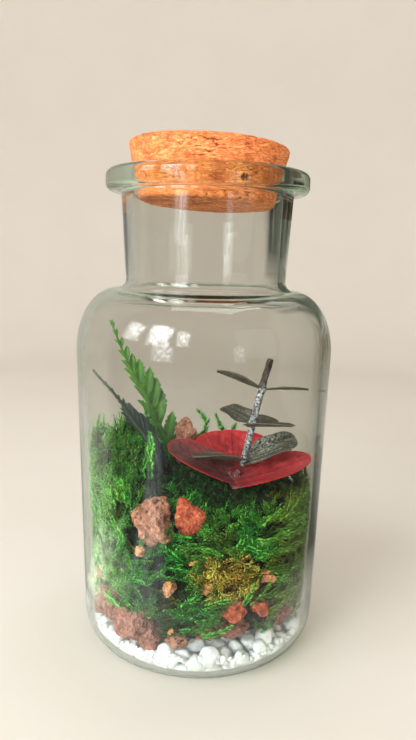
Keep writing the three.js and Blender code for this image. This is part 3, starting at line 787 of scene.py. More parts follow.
def make_jar():
    """The turned profile, with a wavy wall and steady rims."""
    outside, inside = jar_profile()
    rings = turned(outside + inside, AROUND_JAR)
    height, rim = rings[..., 2], len(outside)
    stretched = rings * np.array([1, 1, 0.22])
    uneven = np.zeros(height.shape)
    uneven[:rim] = 0.05 * swells(stretched[:rim], 17, 3)
    uneven[rim:] = 0.16 * swells(stretched[rim:], 11, 5)
    uneven += 0.05 * swells(rings * np.array([1, 1, 0.02]), 4.5, 7) * smooth(108, 122, height)
    low_neck = smooth(104, 112, height) * smooth(130, 120, height)
    uneven += 0.14 * swells(rings * np.array([1, 1, 0.8]), 8, 9) * low_neck
    steady = smooth(2, 14, height) * smooth(LIP_Z[1] + 1, LIP_Z[0] - 4, height)
    rings += from_axis(rings) * (uneven * steady)[..., None]
    heap = Heap()
    heap.add(*capped(rings, [0, 0, PUSH_UP], [0, 0, FLOOR_Z]))
    piece("jar", heap, glass_finish(), "clear_glass", "glass_jar")


make_jar()

# %% [markdown]
# ## The cork
# The stopper is a tapered cork. Its side shows fibres that run round it in waves, with dark cracks and worm
# holes, and its edges are a little chipped. A plain cone with a picture on it would look smooth in raking
# light, so the cracks and holes are cut into a fine mesh, and a mark tells the finish how deep each point
# lies. The finish paints the deeper points darker: painted shade in the cracks, holes and chips.

# %% Cork finish
CORK_Z = 149.8
CORK_H = 16.3
CORK_TOP_R = 23.9
CORK_BOTTOM_R = 20.7
CORK_TILT = (-0.019, 0.032)
CORK_FIBRES = ((160, 80, 38), (224, 130, 72), (248, 178, 120))
CORK_PATCHES = ((176, 108, 62), (255, 236, 220), (255, 255, 250))


def cork_finish():
    material, tree, target = new_finish("pressed_cork", Roughness=0.82)
    fibres = mottled(tree, CORK_FIBRES, size=2.8, Distortion=2.0, Stretch=(1, 1, 3.6))
    patches = mottled(tree, CORK_PATCHES, size=7.0, Distortion=0.5, Stretch=(1, 1, 1.6))
    body = blend(tree, 0.7, fibres, patches, "MULTIPLY")
    flecks = speckled(tree, size=0.9, coverage=0.12, softness=0.05)
    body = over(tree, body, paint(110, 58, 34), flecks, 0.55)
    # Painted shade: the deeper a point lies in a crack, hole or chip, the darker it is painted.
    hollow_shade = between(tree, mark(tree, "depth"), 0.1, 0.5)
    tree.links.new(blend(tree, hollow_shade, body, paint(72, 38, 24)), target["Base Color"])
    relief(tree, target, size=0.5, pits=0.8, strength=0.5, depth_mm=0.12)
    return material


# %% Cork mesh
def cork_rows():
    """Profile points with the direction that each faces: (radius, height, outward, upward)."""
    half, edge = CORK_H / 2, 1.0
    rows = [(r, -half, 0, -1) for r in np.linspace(0.6, CORK_BOTTOM_R - edge, 40)]
    rows += [(CORK_BOTTOM_R - 0.3, -half + 0.3, 0.7, -0.7)]
    for share in np.linspace(0, 1, 56):
        radius = CORK_BOTTOM_R + (CORK_TOP_R - CORK_BOTTOM_R) * share
        rows.append((radius, -half + edge + (CORK_H - 2 * edge) * share, 1, 0))
    rows += [(CORK_TOP_R - 0.3, half - 0.3, 0.7, 0.7)]
    rows += [(r, half, 0, 1) for r in np.linspace(CORK_TOP_R - edge, 0.6, 44)]
    return np.array(rows)


def make_cork():
    around = 300
    rows = cork_rows()
    rings = turned(rows[:, :2], around)
    faces_out = turned(rows[:, 2:], around)
    fibre = rings * np.array([1, 1, 2.6])
    line = np.abs(swells(fibre, 4.2, 11) + 0.35 * swells(fibre, 1.3, 12))
    cracks = 0.55 * smooth(0.07, 0.0, line) * smooth(-0.1, 0.5, swells(rings, 5, 13))
    pit = swells(rings * np.array([1, 1, 2.2]), 1.7, 17) + 0.5 * swells(rings, 0.8, 14)
    holes = 0.55 * smooth(0.78, 1.05, pit) * smooth(-0.1, 0.3, swells(rings, 7, 19))
    rough = 0.1 * (1 + swells(fibre, 1.4, 15)) + 0.05 * (1 + swells(rings, 0.45, 16))
    chipped = 0.5 * smooth(0.25, 0.8, swells(rings, 2.2, 18)) * (np.abs(rows[:, 3]) == 0.7)[:, None]
    depth = cracks + holes + rough + chipped
    rings = rings - faces_out * depth[..., None]
    points, faces = capped(rings, [0, 0, -CORK_H / 2 + 0.1], [0, 0, CORK_H / 2 - 0.1])
    tilt = np.array(Matrix.Rotation(CORK_TILT[0], 3, "X") @ Matrix.Rotation(CORK_TILT[1], 3, "Y"))
    points = points @ tilt.T + np.array([0, 0, CORK_Z])
    # How deep each point lies, for the painted shade in the finish.
    marks = np.concatenate([(cracks + holes + 0.6 * chipped).ravel(), [0, 0]])
    heap = Heap()
    heap.add(points, faces, depth=marks)
    piece("cork", heap, cork_finish(), "pressed_cork", "cork_stopper")


make_cork()

# %% [markdown]
# ## Lava stones
# The stones are red volcanic rock: lumps full of burst bubbles, granular all over, some orange and some
# brown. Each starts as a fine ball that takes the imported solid's own form, three slow waves deep. Then
# come swells, grains and pores. Sculpting them by hand would do as well, but a formula makes sixteen
# different ones. Those that lie against the glass stay just inside it.

# %% Lava finish
def darker(colour, share):
    """A colour with only a share of its light."""
    return (*(share * part for part in colour[:3]), 1.0)


def lava_finish(name, colours, others):
    """Lava in three colours. Where the mesh marks it, three other colours take their place."""
    material, tree, target = new_finish(name, Roughness=0.92)
    dark, light = paint(*colours[0]), paint(*colours[2])
    bodies = [mottled(tree, palette, size=1.5, Distortion=0.8) for palette in (colours, others)]
    body = blend(tree, mark(tree, "other"), *bodies)
    dust = speckled(tree, size=0.45, coverage=0.3, softness=0.12)
    body = over(tree, body, light, dust, 0.35)
    grit = speckled(tree, size=0.28, coverage=0.22, softness=0.05)
    body = over(tree, body, darker(dark, 0.4), grit, 0.5)
    # Painted shade: the pits and creases are painted darker.
    pore = between(tree, mark(tree, "pore"), 0.05, 0.9, 0.0, 0.9)
    tree.links.new(blend(tree, pore, body, darker(dark, 0.3)), target["Base Color"])
    relief(tree, target, size=0.35, pits=1.0, strength=0.6, depth_mm=0.15)
    return material


MAUVE = ((100, 62, 58), (150, 99, 90), (188, 140, 128))
TAN = ((150, 94, 60), (204, 148, 106), (234, 190, 150))
LAVA = {
    "red": lava_finish("lava_red", ((104, 62, 46), (168, 112, 88), (204, 152, 126)), MAUVE),
    "orange": lava_finish("lava_orange", ((124, 45, 30), (178, 80, 53), (210, 122, 92)), TAN),
    "brown": lava_finish("lava_brown", ((84, 44, 38), (138, 84, 72), (172, 118, 102)), MAUVE),
}

# %% The stones' places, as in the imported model
# centre, half sizes, finish, phase of the waves and turn about Y
STONES = [
    ((-12.8, -29.4, 51.2), (6.2, 5.2, 6.9), "red", 1.1, 0.25),
    ((-3.2, -31.6, 53.4), (3.3, 3.7, 5.3), "orange", 4.4, -0.1),
    ((-5.2, 7.5, 63.8), (4.0, 3.4, 8.0), "red", 2.7, 0.0),
    ((-28.2, -17.0, 18.4), (4.9, 4.8, 5.4), "red", 0.4, 0.5),
    ((-18.2, -27.2, 15.8), (6.4, 4.8, 5.2), "red", 3.6, 0.6),
    ((-30.2, -17.0, 27.4), (2.6, 2.4, 2.0), "red", 5.1, 0.2),
    ((-5.6, -33.0, 14.8), (3.6, 2.8, 2.2), "red", 1.9, 0.0),
    ((9.8, -29.6, 17.6), (5.0, 4.4, 3.8), "brown", 0.9, -0.2),
    ((10.6, -31.0, 24.8), (4.3, 3.6, 3.3), "orange", 2.2, -0.3),
    ((17.8, -28.4, 24.0), (2.7, 3.2, 3.2), "orange", 5.6, 0.1),
    ((24.4, -22.2, 17.8), (3.8, 3.4, 4.0), "brown", 3.1, 0.1),
    ((2.4, -33.2, 17.2), (2.3, 2.2, 2.1), "brown", 4.0, 0.4),
    ((-17.2, -29.2, 41.6), (1.9, 1.8, 1.7), "orange", 1.4, 0.6),
    ((-8.4, -32.2, 31.0), (1.8, 2.0, 2.6), "orange", 2.9, 0.2),
    ((2.0, -33.6, 31.8), (1.7, 1.6, 1.5), "orange", 0.7, 1.0),
    ((19.6, -27.6, 33.2), (2.4, 2.0, 1.8), "orange", 4.6, 0.1),
]
# how far a stone is mauve or tan, by its number
OTHER = {3: 0.35, 4: 0.8, 5: 0.85, 6: 0.6, 7: 0.5, 13: 0.95, 14: 0.85, 15: 0.7, 16: 0.6}
LUMPS = {  # what else belongs to a stone: centre, half sizes and phase
    4: (((-26.0, -21.6, 17.4), (3.3, 3.0, 3.0), 1.3),),
    5: (((-20.6, -27.0, 16.8), (3.6, 3.2, 3.0), 0.2), ((-13.6, -30.6, 12.6), (3.6, 2.6, 2.8), 2.5)),
}
BODIES = STONES + [(centre, half) for lumps in LUMPS.values() for centre, half, _ in lumps]


# %% Stone meshes
def ball(detail):
    """Points and triangles of a ball of radius one, cut finer and finer from twenty triangles."""
    made = bmesh.new()
    bmesh.ops.create_icosphere(made, subdivisions=detail, radius=1)
    made.verts.ensure_lookup_table()
    points = np.array([v.co[:] for v in made.verts])
    faces = np.array([[v.index for v in f.verts] for f in made.faces])
    made.free()
    return unit(points), faces


BALLS = {detail: ball(detail) for detail in (2, 3, 4, 5, 6)}
print("triangles of each ball:", {detail: len(faces) for detail, (_, faces) in BALLS.items()})
ROUGH = 0.42  # depth of the three slow waves
KNOBS = {  # by the stone's number: where a knob points, how wide and how high it is
    1: (((-0.3, -0.5, 1.0), 0.35, 1.6), ((-1.0, -0.5, -0.15), 0.42, 1.7), ((0.9, -0.6, -0.35), 0.35, 1.5),
          ((0.9, -0.6, 0.55), 0.42, -1.7), ((-0.85, -0.6, 0.62), 0.32, -1.3), ((0.2, -1.0, 0.35), 0.22, -1.0),
          ((-0.35, -1.0, -0.2), 0.2, -0.8), ((-0.8, -0.5, -0.75), 0.3, -0.9)),
    2: (((-0.1, -0.4, 1.0), 0.42, 2.3), ((0.95, -0.6, 0.1), 0.36, 1.2), ((-0.8, -0.7, 0.25), 0.3, 1.1),
          ((0.85, -0.5, 0.75), 0.35, -0.9), ((-0.8, -0.5, -0.8), 0.4, -1.0), ((0.1, -1.0, 0.1), 0.2, -0.5)),
    3: (((-0.6, -0.3, 0.75), 0.42, 2.4), ((0.6, -0.3, 0.7), 0.4, 2.2), ((0.0, -0.2, 1.0), 0.3, -2.2)),
}


def stone_shape(centre, half, phase, turn, detail, pored, knobs=()):
    """Points, faces and painted shade marks for the pits and creases of one stone."""
    away, faces = BALLS[detail]
    across = np.sin(3.1 * away[:, 0] + phase) + np.sin(4.3 * away[:, 1] + 2.1 * phase)
    upright = np.sin(3.7 * away[:, 2] + 1.3 * phase + 2 * away[:, 0])
    reach = 1 + ROUGH * (across + upright) / 3
    points = away * np.array(half) * reach[:, None]
    spin = np.array(Matrix.Rotation(turn, 3, "Y"))
    points = points @ spin.T + np.array(centre)
    facing = unit((away / np.array(half)) @ spin.T)
    size = min(half)
    lobes = 0.17 * size * swells(points, 0.5 * size + 1.0, 31)
    for towards, spread, height in knobs:
        lobes = lobes + height * np.exp(-(np.linalg.norm(away - unit(towards), axis=1) / spread) ** 2)
    lumps = 0.5 * swells(points, 1.7, 32) + 0.22 * swells(points, 0.75, 34)
    near, after = crumbs(points, 0.85, 33)
    grains = 0.22 * smooth(0.0, 0.45, after - near)
    hole, _ = crumbs(points + 0.3 * swells(points, 0.8, 37)[:, None], 1.3, 35)
    pits = smooth(0.4, 0.16, hole) * smooth(-0.35, 0.3, swells(points, 2.6, 36))
    lift = lobes + lumps + grains - 0.6 * pored * pits - 0.05 * size - 0.1
    points = inside_glass(points + facing * lift[:, None])
    # Creases and pits are marked for the finish's painted shade.
    crease_shade = smooth(-0.02, -0.35, lobes / size + 0.6 * lumps)
    pores = np.clip(pored * pits + 0.55 * crease_shade, 0, 1)
    return points, faces, pores


for number, (centre, half, tint, phase, turn) in enumerate(STONES, 1):
    heap = Heap()
    detail = 6 if min(half) > 3 else 5
    pored = 0.35 if tint == "orange" else 1.0
    shapes = [stone_shape(centre, half, phase, turn, detail, pored, KNOBS.get(number, ()))]
    shapes += [stone_shape(*lump, 0.0, 5, pored) for lump in LUMPS.get(number, ())]
    for points, faces, pores in shapes:
        heap.add(points, [faces], pore=pores, other=OTHER.get(number, 0.0))
    piece(f"lava_{number:02d}", heap, LAVA[tint], f"lava_{tint}", f"lava_stone_{number:02d}")

# %% [markdown]
# ## White gravel
# The bed is crushed white marble, tumbled until its edges went round: chips of four to six millimetres.
# A physics simulation could drop them in, but it takes long and never quite repeats, so the chips are
# balls that push each other apart round after round, within the floor, the glass and the stones. Each then
# gets its own flat cuts and turn.

# %% Gravel finish
def gravel_finish():
    material, tree, target = new_finish(
        "white_gravel", Roughness=0.62, Subsurface_Weight=0.4, Subsurface_Radius=(1.0, 0.97, 0.9),
        Subsurface_Scale=0.002,
    )
    body = mottled(tree, ((220, 221, 226), (247, 249, 255), (253, 254, 255)), size=3.4, Distortion=0.8)
    grey = blend(tree, between(tree, mark(tree, "tone"), 0.0, 1.0, 0.0, 0.4), body, paint(214, 213, 215))
    grit = speckled(tree, size=0.5, coverage=0.12, softness=0.04)
    tree.links.new(over(tree, grey, paint(120, 108, 96), grit, 0.5), target["Base Color"])
    relief(tree, target, size=0.3, pits=0.6, strength=0.35, depth_mm=0.1)
    return material


# %% Let the chips settle
CHIPS = 340
FINES = 680  # small broken chips and grit that fill the heel between the larger ones
CHIP_R = (1.75, 3.0)
RING_R = 29.5  # from here out the gravel is heaped against the glass
BED_TOP_Z = 11.6
HEAP_TOP_Z = 15.2
LOW_STONE_Z = 22  # stones whose middle is lower than this stand in the gravel
SETTLE_ROUNDS = 120


def pushed(spots, others, reach):
    """How far each spot has to move to get clear of the others."""
    apart = spots[:, None] - others[None]
    gap = np.linalg.norm(apart, axis=-1) + 1e-6
    press = np.clip(reach - gap, 0, None)
    return np.sum(apart / gap[..., None] * press[..., None], 1)


def settle():
    """Centres and radii of chips that fill the bed without crowding each other."""
    draw = np.random.default_rng(7)
    radius = draw.uniform(*CHIP_R, CHIPS)
    angle, far = draw.uniform(0, 2 * np.pi, CHIPS), 35 * np.sqrt(draw.uniform(0, 1, CHIPS))
    spots = round_axis(far, angle, draw.uniform(6, 13, CHIPS))
    low = [body for body in BODIES if body[0][2] < LOW_STONE_Z]
    stones = np.array([body[0] for body in low])
    stone_r = np.array([0.92 * sum(body[1]) / 3 for body in low])
    for _ in range(SETTLE_ROUNDS):
        spots = spots + 0.4 * pushed(spots, spots, 0.97 * (radius[:, None] + radius[None]))
        spots = spots + 0.8 * pushed(spots, stones, radius[:, None] + stone_r[None])
        out = np.hypot(spots[:, 0], spots[:, 1])
        room = glass_at(spots[:, 2]) - 0.25 - 0.9 * radius
        spots[:, :2] *= np.minimum(1, room / np.maximum(out, 1e-6))[:, None]
        top = BED_TOP_Z + (HEAP_TOP_Z - BED_TOP_Z) * smooth(RING_R - 1.5, RING_R + 1.5, out)
        spots[:, 2] = np.clip(spots[:, 2] - 0.05, FLOOR_Z + 0.3 + 0.88 * radius, top - 0.75 * radius)
    return spots, radius


chip_spots, chip_radii = settle()
print("chips at the glass:", int(np.sum(np.hypot(chip_spots[:, 0], chip_spots[:, 1]) > RING_R)))


# %% Gravel meshes
def chip(spot, radius, detail, draw):
    """One tumbled chip: a ball with flat cuts, stretched and turned."""
    away, faces = BALLS[detail]
    points = away.copy()
    for facing in unit(draw.normal(size=(9, 3))):
        over = np.clip(dot(points, facing) - draw.uniform(0.62, 0.9), 0, None)
        points -= 0.9 * over[:, None] * facing
    points *= draw.uniform(0.86, 1.28, 3)
    spin = np.array(Matrix.Rotation(draw.uniform(0, 6.28), 3, Vector(draw.normal(size=3))))
    points = radius * 1.06 * points @ spin.T + spot
    lift = 0.1 * swells(points, 1.3, 51) + 0.04 * swells(points, 0.5, 52)
    return inside_glass(points + away @ spin.T * lift[:, None], 0.28), faces


def make_gravel():
    draw = np.random.default_rng(8)
    finish = gravel_finish()
    heaps = {"gravel_ring": Heap(), "gravel_bed_under": Heap()}
    for spot, radius in zip(chip_spots, chip_radii):
        shown = math.hypot(spot[0], spot[1]) > RING_R - 1
        points, faces = chip(spot, radius, 4 if shown else 3, draw)
        tone = draw.uniform() ** 2
        heaps["gravel_ring" if shown else "gravel_bed_under"].add(points, [faces], tone=tone)
    heaps["gravel_fines"] = Heap()
    for k in range(FINES):
        radius, height = draw.uniform(0.5, 1.25), FLOOR_Z + 0.6 + 7.0 * draw.uniform() ** 1.2
        far = float(glass_at(np.array(height))) - 0.3 - draw.uniform(0.9, 1.6) * radius
        spot = np.array([far * math.cos(GOLDEN * k), far * math.sin(GOLDEN * k), height])
        points, faces = chip(spot, radius, 2, draw)
        heaps["gravel_fines"].add(points, [faces], tone=draw.uniform() ** 3)
    for name, heap in heaps.items():
        piece(name, heap, finish, "white_gravel", "gravel_bed")


make_gravel()

# %% [markdown]
# ## Stems and leaf blades
# A stem is a tube along a smooth curve through a few points. A leaf is a thin blade that starts at a
# point, runs along an axis and is cupped towards its upper face, with the midrib and the side veins
# raised underneath and sunk above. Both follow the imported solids' own formulas, on a finer mesh.


# %% Smooth curves and tubes
def curve_through(points, steps):
    """A centripetal Catmull-Rom curve: evenly drawn points, also for its share `t` of the way."""
    points = np.array(points, float)
    ends = [2 * points[0] - points[1], *points, 2 * points[-1] - points[-2]]
    shares = np.linspace(0, 1, steps + 1) if isinstance(steps, int) else np.asarray(steps, float)
    result = []
    for share in shares:
        place = share * (len(points) - 1)
        k = min(int(place), len(points) - 2)
        w = place - k
        before, start, end, after = ends[k : k + 4]
        pairs = ((before, start), (start, end), (end, after))
        one, two, three = (max(np.linalg.norm(b - a) ** 0.5, 1e-6) for a, b in pairs)
        leave = (start - before) / one - (end - before) / (one + two) + (end - start) / two
        reach = (end - start) / two - (after - start) / (two + three) + (after - end) / three
        leave, reach = leave * two, reach * two
        a = 2 * start - 2 * end + leave + reach
        b = -3 * start + 3 * end - 2 * leave - reach
        result.append(a * w**3 + b * w**2 + leave * w + start)
    return np.array(result)


def tube(path, radii, sides):
    """Points and faces of a closed tube along a path, with a radius at each point."""
    along = unit(np.gradient(path, axis=0))
    side = unit(np.cross(along[0], [0.3, 1, 0.2]))
    rings = []
    angle = 2 * np.pi * np.arange(sides) / sides
    for spot, ahead, radius in zip(path, along, radii):
        side = unit(side - dot(side, ahead) * ahead)
        other = np.cross(ahead, side)
        ring = np.outer(np.cos(angle), side) + np.outer(np.sin(angle), other)
        rings.append(spot + radius * ring)
    return capped(np.array(rings), path[0], path[-1])


# %% A leaf blade
def leaf_share(u, broad, blunt):
    """How wide the leaf is at share u of its length. The outer half is an oval, or squarer when blunt."""
    near_base = broad + (1 - broad) * np.sin(np.pi * u)
    outer = np.clip(1 - np.abs(2 * u - 1) ** blunt, 0, 1) ** (1 / blunt)
    return np.where(u < 0.5, near_base, outer)


def leaf_blade(at, along, face, length, width, cup, broad=0.14, droop=0.0, thick=0.36, seed=0, frill=0.25,
               fanned=False, blunt=2.0):
    """Points, faces and marks of one cupped leaf with its veins in relief."""
    rows, columns = (110, 96) if fanned else (72, 40)
    u = np.sin(np.pi / 2 * np.linspace(0, 1, rows + 1)) ** 2
    v = np.sin(np.pi / 2 * np.linspace(-1, 1, columns + 1))
    u, v = np.meshgrid(u, v, indexing="ij")
    spread = np.maximum(leaf_share(u, broad, blunt), 0.02)
    across = v * spread * width / 2
    axis = unit(along)
    side = unit(np.cross(face, axis))
    normal = unit(np.cross(axis, side))
    run = u * length - 0.75 * np.abs(across)
    beat = np.abs((run / (0.115 * length)) % 1 - 0.5)
    vein = smooth(0.11, 0.0, beat) * smooth(0.98, 0.7, np.abs(v)) * smooth(0.0, 0.06, u)
    rib_width = (0.018 if fanned else 0.035) * width
    rib = np.exp(-((across / (rib_width * (1.15 - u))) ** 2))
    if fanned:
        waver = 0.02 * swells(np.stack([u * 9, v * 4, 0 * u], -1), 1.0, 63)
        angle = np.arctan2(np.abs(across), u * length + 0.8) + waver
        main = np.abs((angle / 0.3) % 1 - 0.5) * 0.3 * (u * length + 2)
        fine = np.abs((angle / 0.1) % 1 - 0.5) * 0.1 * (u * length + 2)
        vein = smooth(0.28, 0.05, main) + 0.4 * smooth(0.16, 0.02, fine)
        vein = np.clip(vein, 0, 1) * smooth(1.0, 0.8, np.abs(v)) * smooth(1.0, 0.7, u)
    flat = np.stack([u * length, across, np.full(u.shape, 7.0 * seed)], -1)
    ripple = frill * swells(flat, 0.33 * length, 60 + seed) * np.abs(v * spread) ** 1.5
    middle = cup * (v * spread) ** 2 - droop * u**2 + ripple + 0.05 * swells(flat, 2.2, 61)
    body = thick * (0.35 + 0.65 * np.sqrt(1 - 0.97 * v**2)) / 2
    above = middle + body - 0.07 * rib - 0.04 * vein
    below = middle - body - 0.3 * rib - 0.07 * vein
    flat = np.array(at) + u[..., None] * length * axis + across[..., None] * side
    points = [(flat + lift[..., None] * normal).reshape(-1, 3) for lift in (above, below)]
    marks = {
        "vein": np.maximum(vein * 0.7, rib),
        "rim": smooth(0.86, 1.0, np.maximum(np.abs(v), 2 * u - 1)),
        "along": u,
        "across": v,
    }
    marks = {name: np.tile(values.ravel(), 2) for name, values in marks.items()}
    marks["under"] = np.repeat([0.0, 1.0], u.size)
    return np.concatenate(points), two_layers(rows, columns), marks


# %% [markdown]
# ## The eucalyptus sprig
# A dried sprig of young eucalyptus: round leaves in pairs at three joints of a brown stem. The leaves
# are dark grey-olive and dull, and a white waxy bloom lies on them and on the lower stem as if dusted.
# The bloom is a speck mask that the stem's marks make stronger towards the joints.

# %% Sprig finishes
def sprig_leaf_finish():
    material, tree, target = new_finish("grey_leaf", Roughness=0.6)
    upper = mottled(tree, ((38, 36, 26), (60, 56, 41), (84, 79, 61)), size=3.2)
    lower = mottled(tree, ((60, 54, 43), (86, 80, 66), (112, 106, 90)), size=2.0)
    body = blend(tree, mark(tree, "under"), upper, lower)
    body = over(tree, body, paint(134, 128, 106), mark(tree, "vein"), 0.35)
    wax = speckled(tree, size=0.8, coverage=0.66, softness=0.3)
    amount = between(tree, mark(tree, "bloom"), 0.0, 1.0, 0.03, 0.95)
    body = over(tree, body, paint(206, 208, 206), wax, amount)
    body = over(tree, body, paint(138, 130, 112), mark(tree, "rim"), 0.4)
    tree.links.new(body, target["Base Color"])
    relief(tree, target, size=0.5, pits=0.4, strength=0.35, depth_mm=0.08)
    return material


def sprig_stem_finish():
    material, tree, target = new_finish("powdered_stem", Roughness=0.8)
    bark = mottled(
        tree, ((24, 15, 11), (50, 34, 27), (120, 98, 82)), size=0.75, Distortion=1.0, Stretch=(1, 1, 0.3)
    )
    powder = speckled(tree, size=0.8, coverage=0.7, softness=0.26)
    amount = between(tree, mark(tree, "bloom"), 0.0, 1.0, 0.05, 0.98)
    body = over(tree, bark, paint(226, 231, 242), powder, amount)
    tree.links.new(body, target["Base Color"])
    relief(tree, target, size=0.4, pits=0.8, strength=0.6, depth_mm=0.12)
    return material


# %% Sprig meshes
SPRIG_STEM = [
    (11.6, -1.0, 47), (13.6, -2.4, 60.5), (16.2, -3.4, 74.6), (18.4, -4.0, 86.2), (20.8, -4.2, 95.6)
]
SPRIG_STEM_R = (1.0, 1.2, 1.25, 1.2, 1.15)
SPRIG_JOINTS = (61.8, 74.6, 86.3)  # heights of the leaf pairs
# where a leaf starts, its axis, the way it faces, its length, width and cup, and what sets it apart
SPRIG_LEAVES = [
    ((14.0, -2.6, 62.0), (-1, -0.5, 0.2), (0.14, 0.3, 1), 18.6, 13, 1.4, dict(broad=0.5)),
    ((13.6, -2.4, 61.6), (1, -0.06, 0.42), (-0.42, -0.3, 1), 19, 12.8, 1.8,
     dict(broad=0.5, droop=-0.6, blunt=3.0, frill=0.5)),
    ((17.4, -2.2, 74.4), (-0.82, 0.6, 0.28), (0.25, -0.2, 1), 13.4, 12.5, 1.0,
     dict(broad=0.5, blunt=2.6, frill=0.9)),
    ((16.4, -3.0, 74.8), (0.8, 0.5, 0.0), (0.1, -0.1, 1), 9.6, 9, 0.6, dict(broad=0.5)),
    ((14.4, -3.8, 74.2), (0.78, -0.62, 0.17), (-0.02, 0.27, 1), 17, 12.5, 0.7, dict(broad=0.4)),
    ((18.4, -4.0, 86.4), (-1, 0.02, 0.36), (0.36, 0.27, 1), 15.2, 11.5, 1.0, {}),
    ((18.4, -4.0, 86.2), (1, 0.1, 0.06), (-0.12, 0.19, 1), 15, 11, 0.4, dict(droop=0.9)),
]
LEAF_BLOOM = (0.2, 1.5, 0.5, 0.3, 0.4, 0.1, 0.1)  # the right leaf at the foot is the whitest


def make_sprig():
    heap = Heap()
    for k, ((*leaf, apart), bloom) in enumerate(zip(SPRIG_LEAVES, LEAF_BLOOM)):
        points, faces, marks = leaf_blade(*leaf, **apart, seed=k)
        streaks = np.stack([2.2 * marks["along"], 9 * marks["across"], 5.0 * k + 0 * marks["along"]], -1)
        streaky = np.clip(0.45 + 1.5 * swells(streaks, 1.0, 74), 0.05, 1.4)
        inner = smooth(0.85, 0.35, marks["along"])
        heap.add(points, faces, **marks, bloom=bloom * streaky * (0.25 + 0.75 * inner))
    piece("sprig_leaves", heap, sprig_leaf_finish(), "grey_eucalyptus", "eucalyptus_sprig")
    steps = 120
    path = curve_through(SPRIG_STEM, steps)
    radii = np.interp(np.linspace(0, 4, steps + 1), range(5), SPRIG_STEM_R)
    for joint in SPRIG_JOINTS:
        radii = radii + 0.45 * np.exp(-(((path[:, 2] - joint) / 0.9) ** 2))
    radii[-1] *= 0.8
    points, faces = tube(path, 0.92 * radii, 20)
    bark = 0.13 * swells(points * np.array([1, 1, 0.4]), 0.7, 71) + 0.1 * swells(points, 1.6, 72)
    centre = np.stack([np.interp(points[:, 2], path[:, 2], path[:, k]) for k in range(3)], -1)
    points = points + unit(points - centre) * bark[:, None]
    near = [np.exp(-(((points[:, 2] - joint + 1.5) / 2.6) ** 2)) for joint in SPRIG_JOINTS]
    white = smooth(89, 85, points[:, 2]) * (0.62 + 0.5 * np.max(near, 0) + 0.3 * swells(points, 2.5, 73))
    stem = Heap()
    stem.add(points, faces, bloom=np.clip(white, 0, 1))
    piece("sprig_stem", stem, sprig_stem_finish(), "grey_eucalyptus", "eucalyptus_sprig")


make_sprig()

# %% [markdown]
# ## The red leaves
# Three broad eucalyptus leaves, dyed crimson and dried into cups, on a short stub. The dye gathers at
# the rim, which stays bright. Inside the left one and near the stub the red dulls to mauve, partly the
# leaves' own colour and partly painted shade. Their veins are darker lines, so the vein mark that raised
# them on the mesh also colours them.


# %% Red leaf finish
def red_leaf_finish():
    material, tree, target = new_finish("dyed_red_leaf", Roughness=0.48)
    crimson = mottled(tree, ((130, 20, 30), (176, 38, 46), (206, 66, 68)), size=3.0)
    mauve = mottled(tree, ((84, 44, 48), (122, 66, 70), (150, 86, 88)), size=2.4)
    # The mauve is partly the leaves' own faded colour and partly painted shade.
    body = blend(tree, mark(tree, "dull"), crimson, mauve)
    body = over(tree, body, paint(76, 12, 22), mark(tree, "vein"), 0.9)
    body = over(tree, body, paint(196, 34, 40), mark(tree, "rim"), 0.85)
    powder = speckled(tree, size=0.7, coverage=0.4, softness=0.1)
    body = over(tree, body, paint(226, 214, 222), powder, mark(tree, "bloom"))
    tree.links.new(body, target["Base Color"])
    relief(tree, target, size=0.45, pits=0.4, strength=0.35, depth_mm=0.08)
    return material


# %% Red leaf meshes
RED_STUB = [(10.8, -6.8, 48), (11.4, -7.2, 55), (11.6, -7.6, 60.6)]
RED_STUB_R = (1.3, 1.5, 0.85)
RED_LEAVES = [  # as for the sprig
    ((11.0, -6.4, 57.2), (-0.06, 0.95, 0.24), (0.02, -0.3, 1), 20, 26, 3.8, dict(broad=0.5, droop=-6.4)),
    ((12.2, -7.4, 57.0), (-1, 0.02, 0.18), (0.2, -0.16, 1), 24.4, 20, 3.2, dict(broad=0.55, droop=-7.0)),
    ((8.6, -10.4, 57.0), (1, 0.14, 0.14), (-0.16, -0.16, 1), 27.4, 17, 1.8, dict(broad=0.8, droop=-4.6)),
]
RED_DULL_AND_SHADE = (0.05, 1.15, 0.15)


def make_red_leaves():
    finish = red_leaf_finish()
    heap = Heap()
    for k, ((*leaf, apart), dull) in enumerate(zip(RED_LEAVES, RED_DULL_AND_SHADE)):
        points, faces, marks = leaf_blade(*leaf, **apart, seed=10 + k, thick=0.42, frill=0.35, fanned=True)
        # Near the stub, and all over the left leaf, the red is dulled to mauve: partly the leaf's own colour,
        # partly painted shade.
        dulled_and_shaded = dull + 0.6 * smooth(0.5, 0.05, marks["along"])
        patchy = np.clip(dulled_and_shaded * (0.8 + 0.5 * swells(points, 6, 81)) * (1 - marks["under"]), 0, 1)
        del marks["across"]
        powder = 0.8 * smooth(0.12, 0.0, marks["along"])
        heap.add(inside_glass(points), faces, **marks, dull=patchy, bloom=powder)
    path = curve_through(RED_STUB, 40)
    radii = np.interp(np.linspace(0, 2, 41), range(3), RED_STUB_R)
    radii = radii + 0.15 * np.exp(-(((path[:, 2] - 57.5) / 1.2) ** 2))
    points, faces = tube(path, radii, 20)
    points = points + 0.12 * swells(points, 0.8, 82)[:, None] * from_axis(points)
    white = smooth(56, 59, points[:, 2])
    heap.add(points, faces, vein=0.5, rim=0.0, along=0.0, under=0.0, dull=0.9, bloom=white)
    piece("red_leaves", heap, finish, "red_leaf", "red_leaf_whorl")


make_red_leaves()

# %% [markdown]
# ## The two fern fronds
# A frond is a stalk with leaflets in pairs, each a small toothed diamond with a midrib, the far ones
# folded back. The fresh one is grass green. The other has been dyed and dried blue-black, and its
# leaflets lie close along the stalk. Both are made by one function, with more leaflets than the packed
# solids have, along the same stalks.


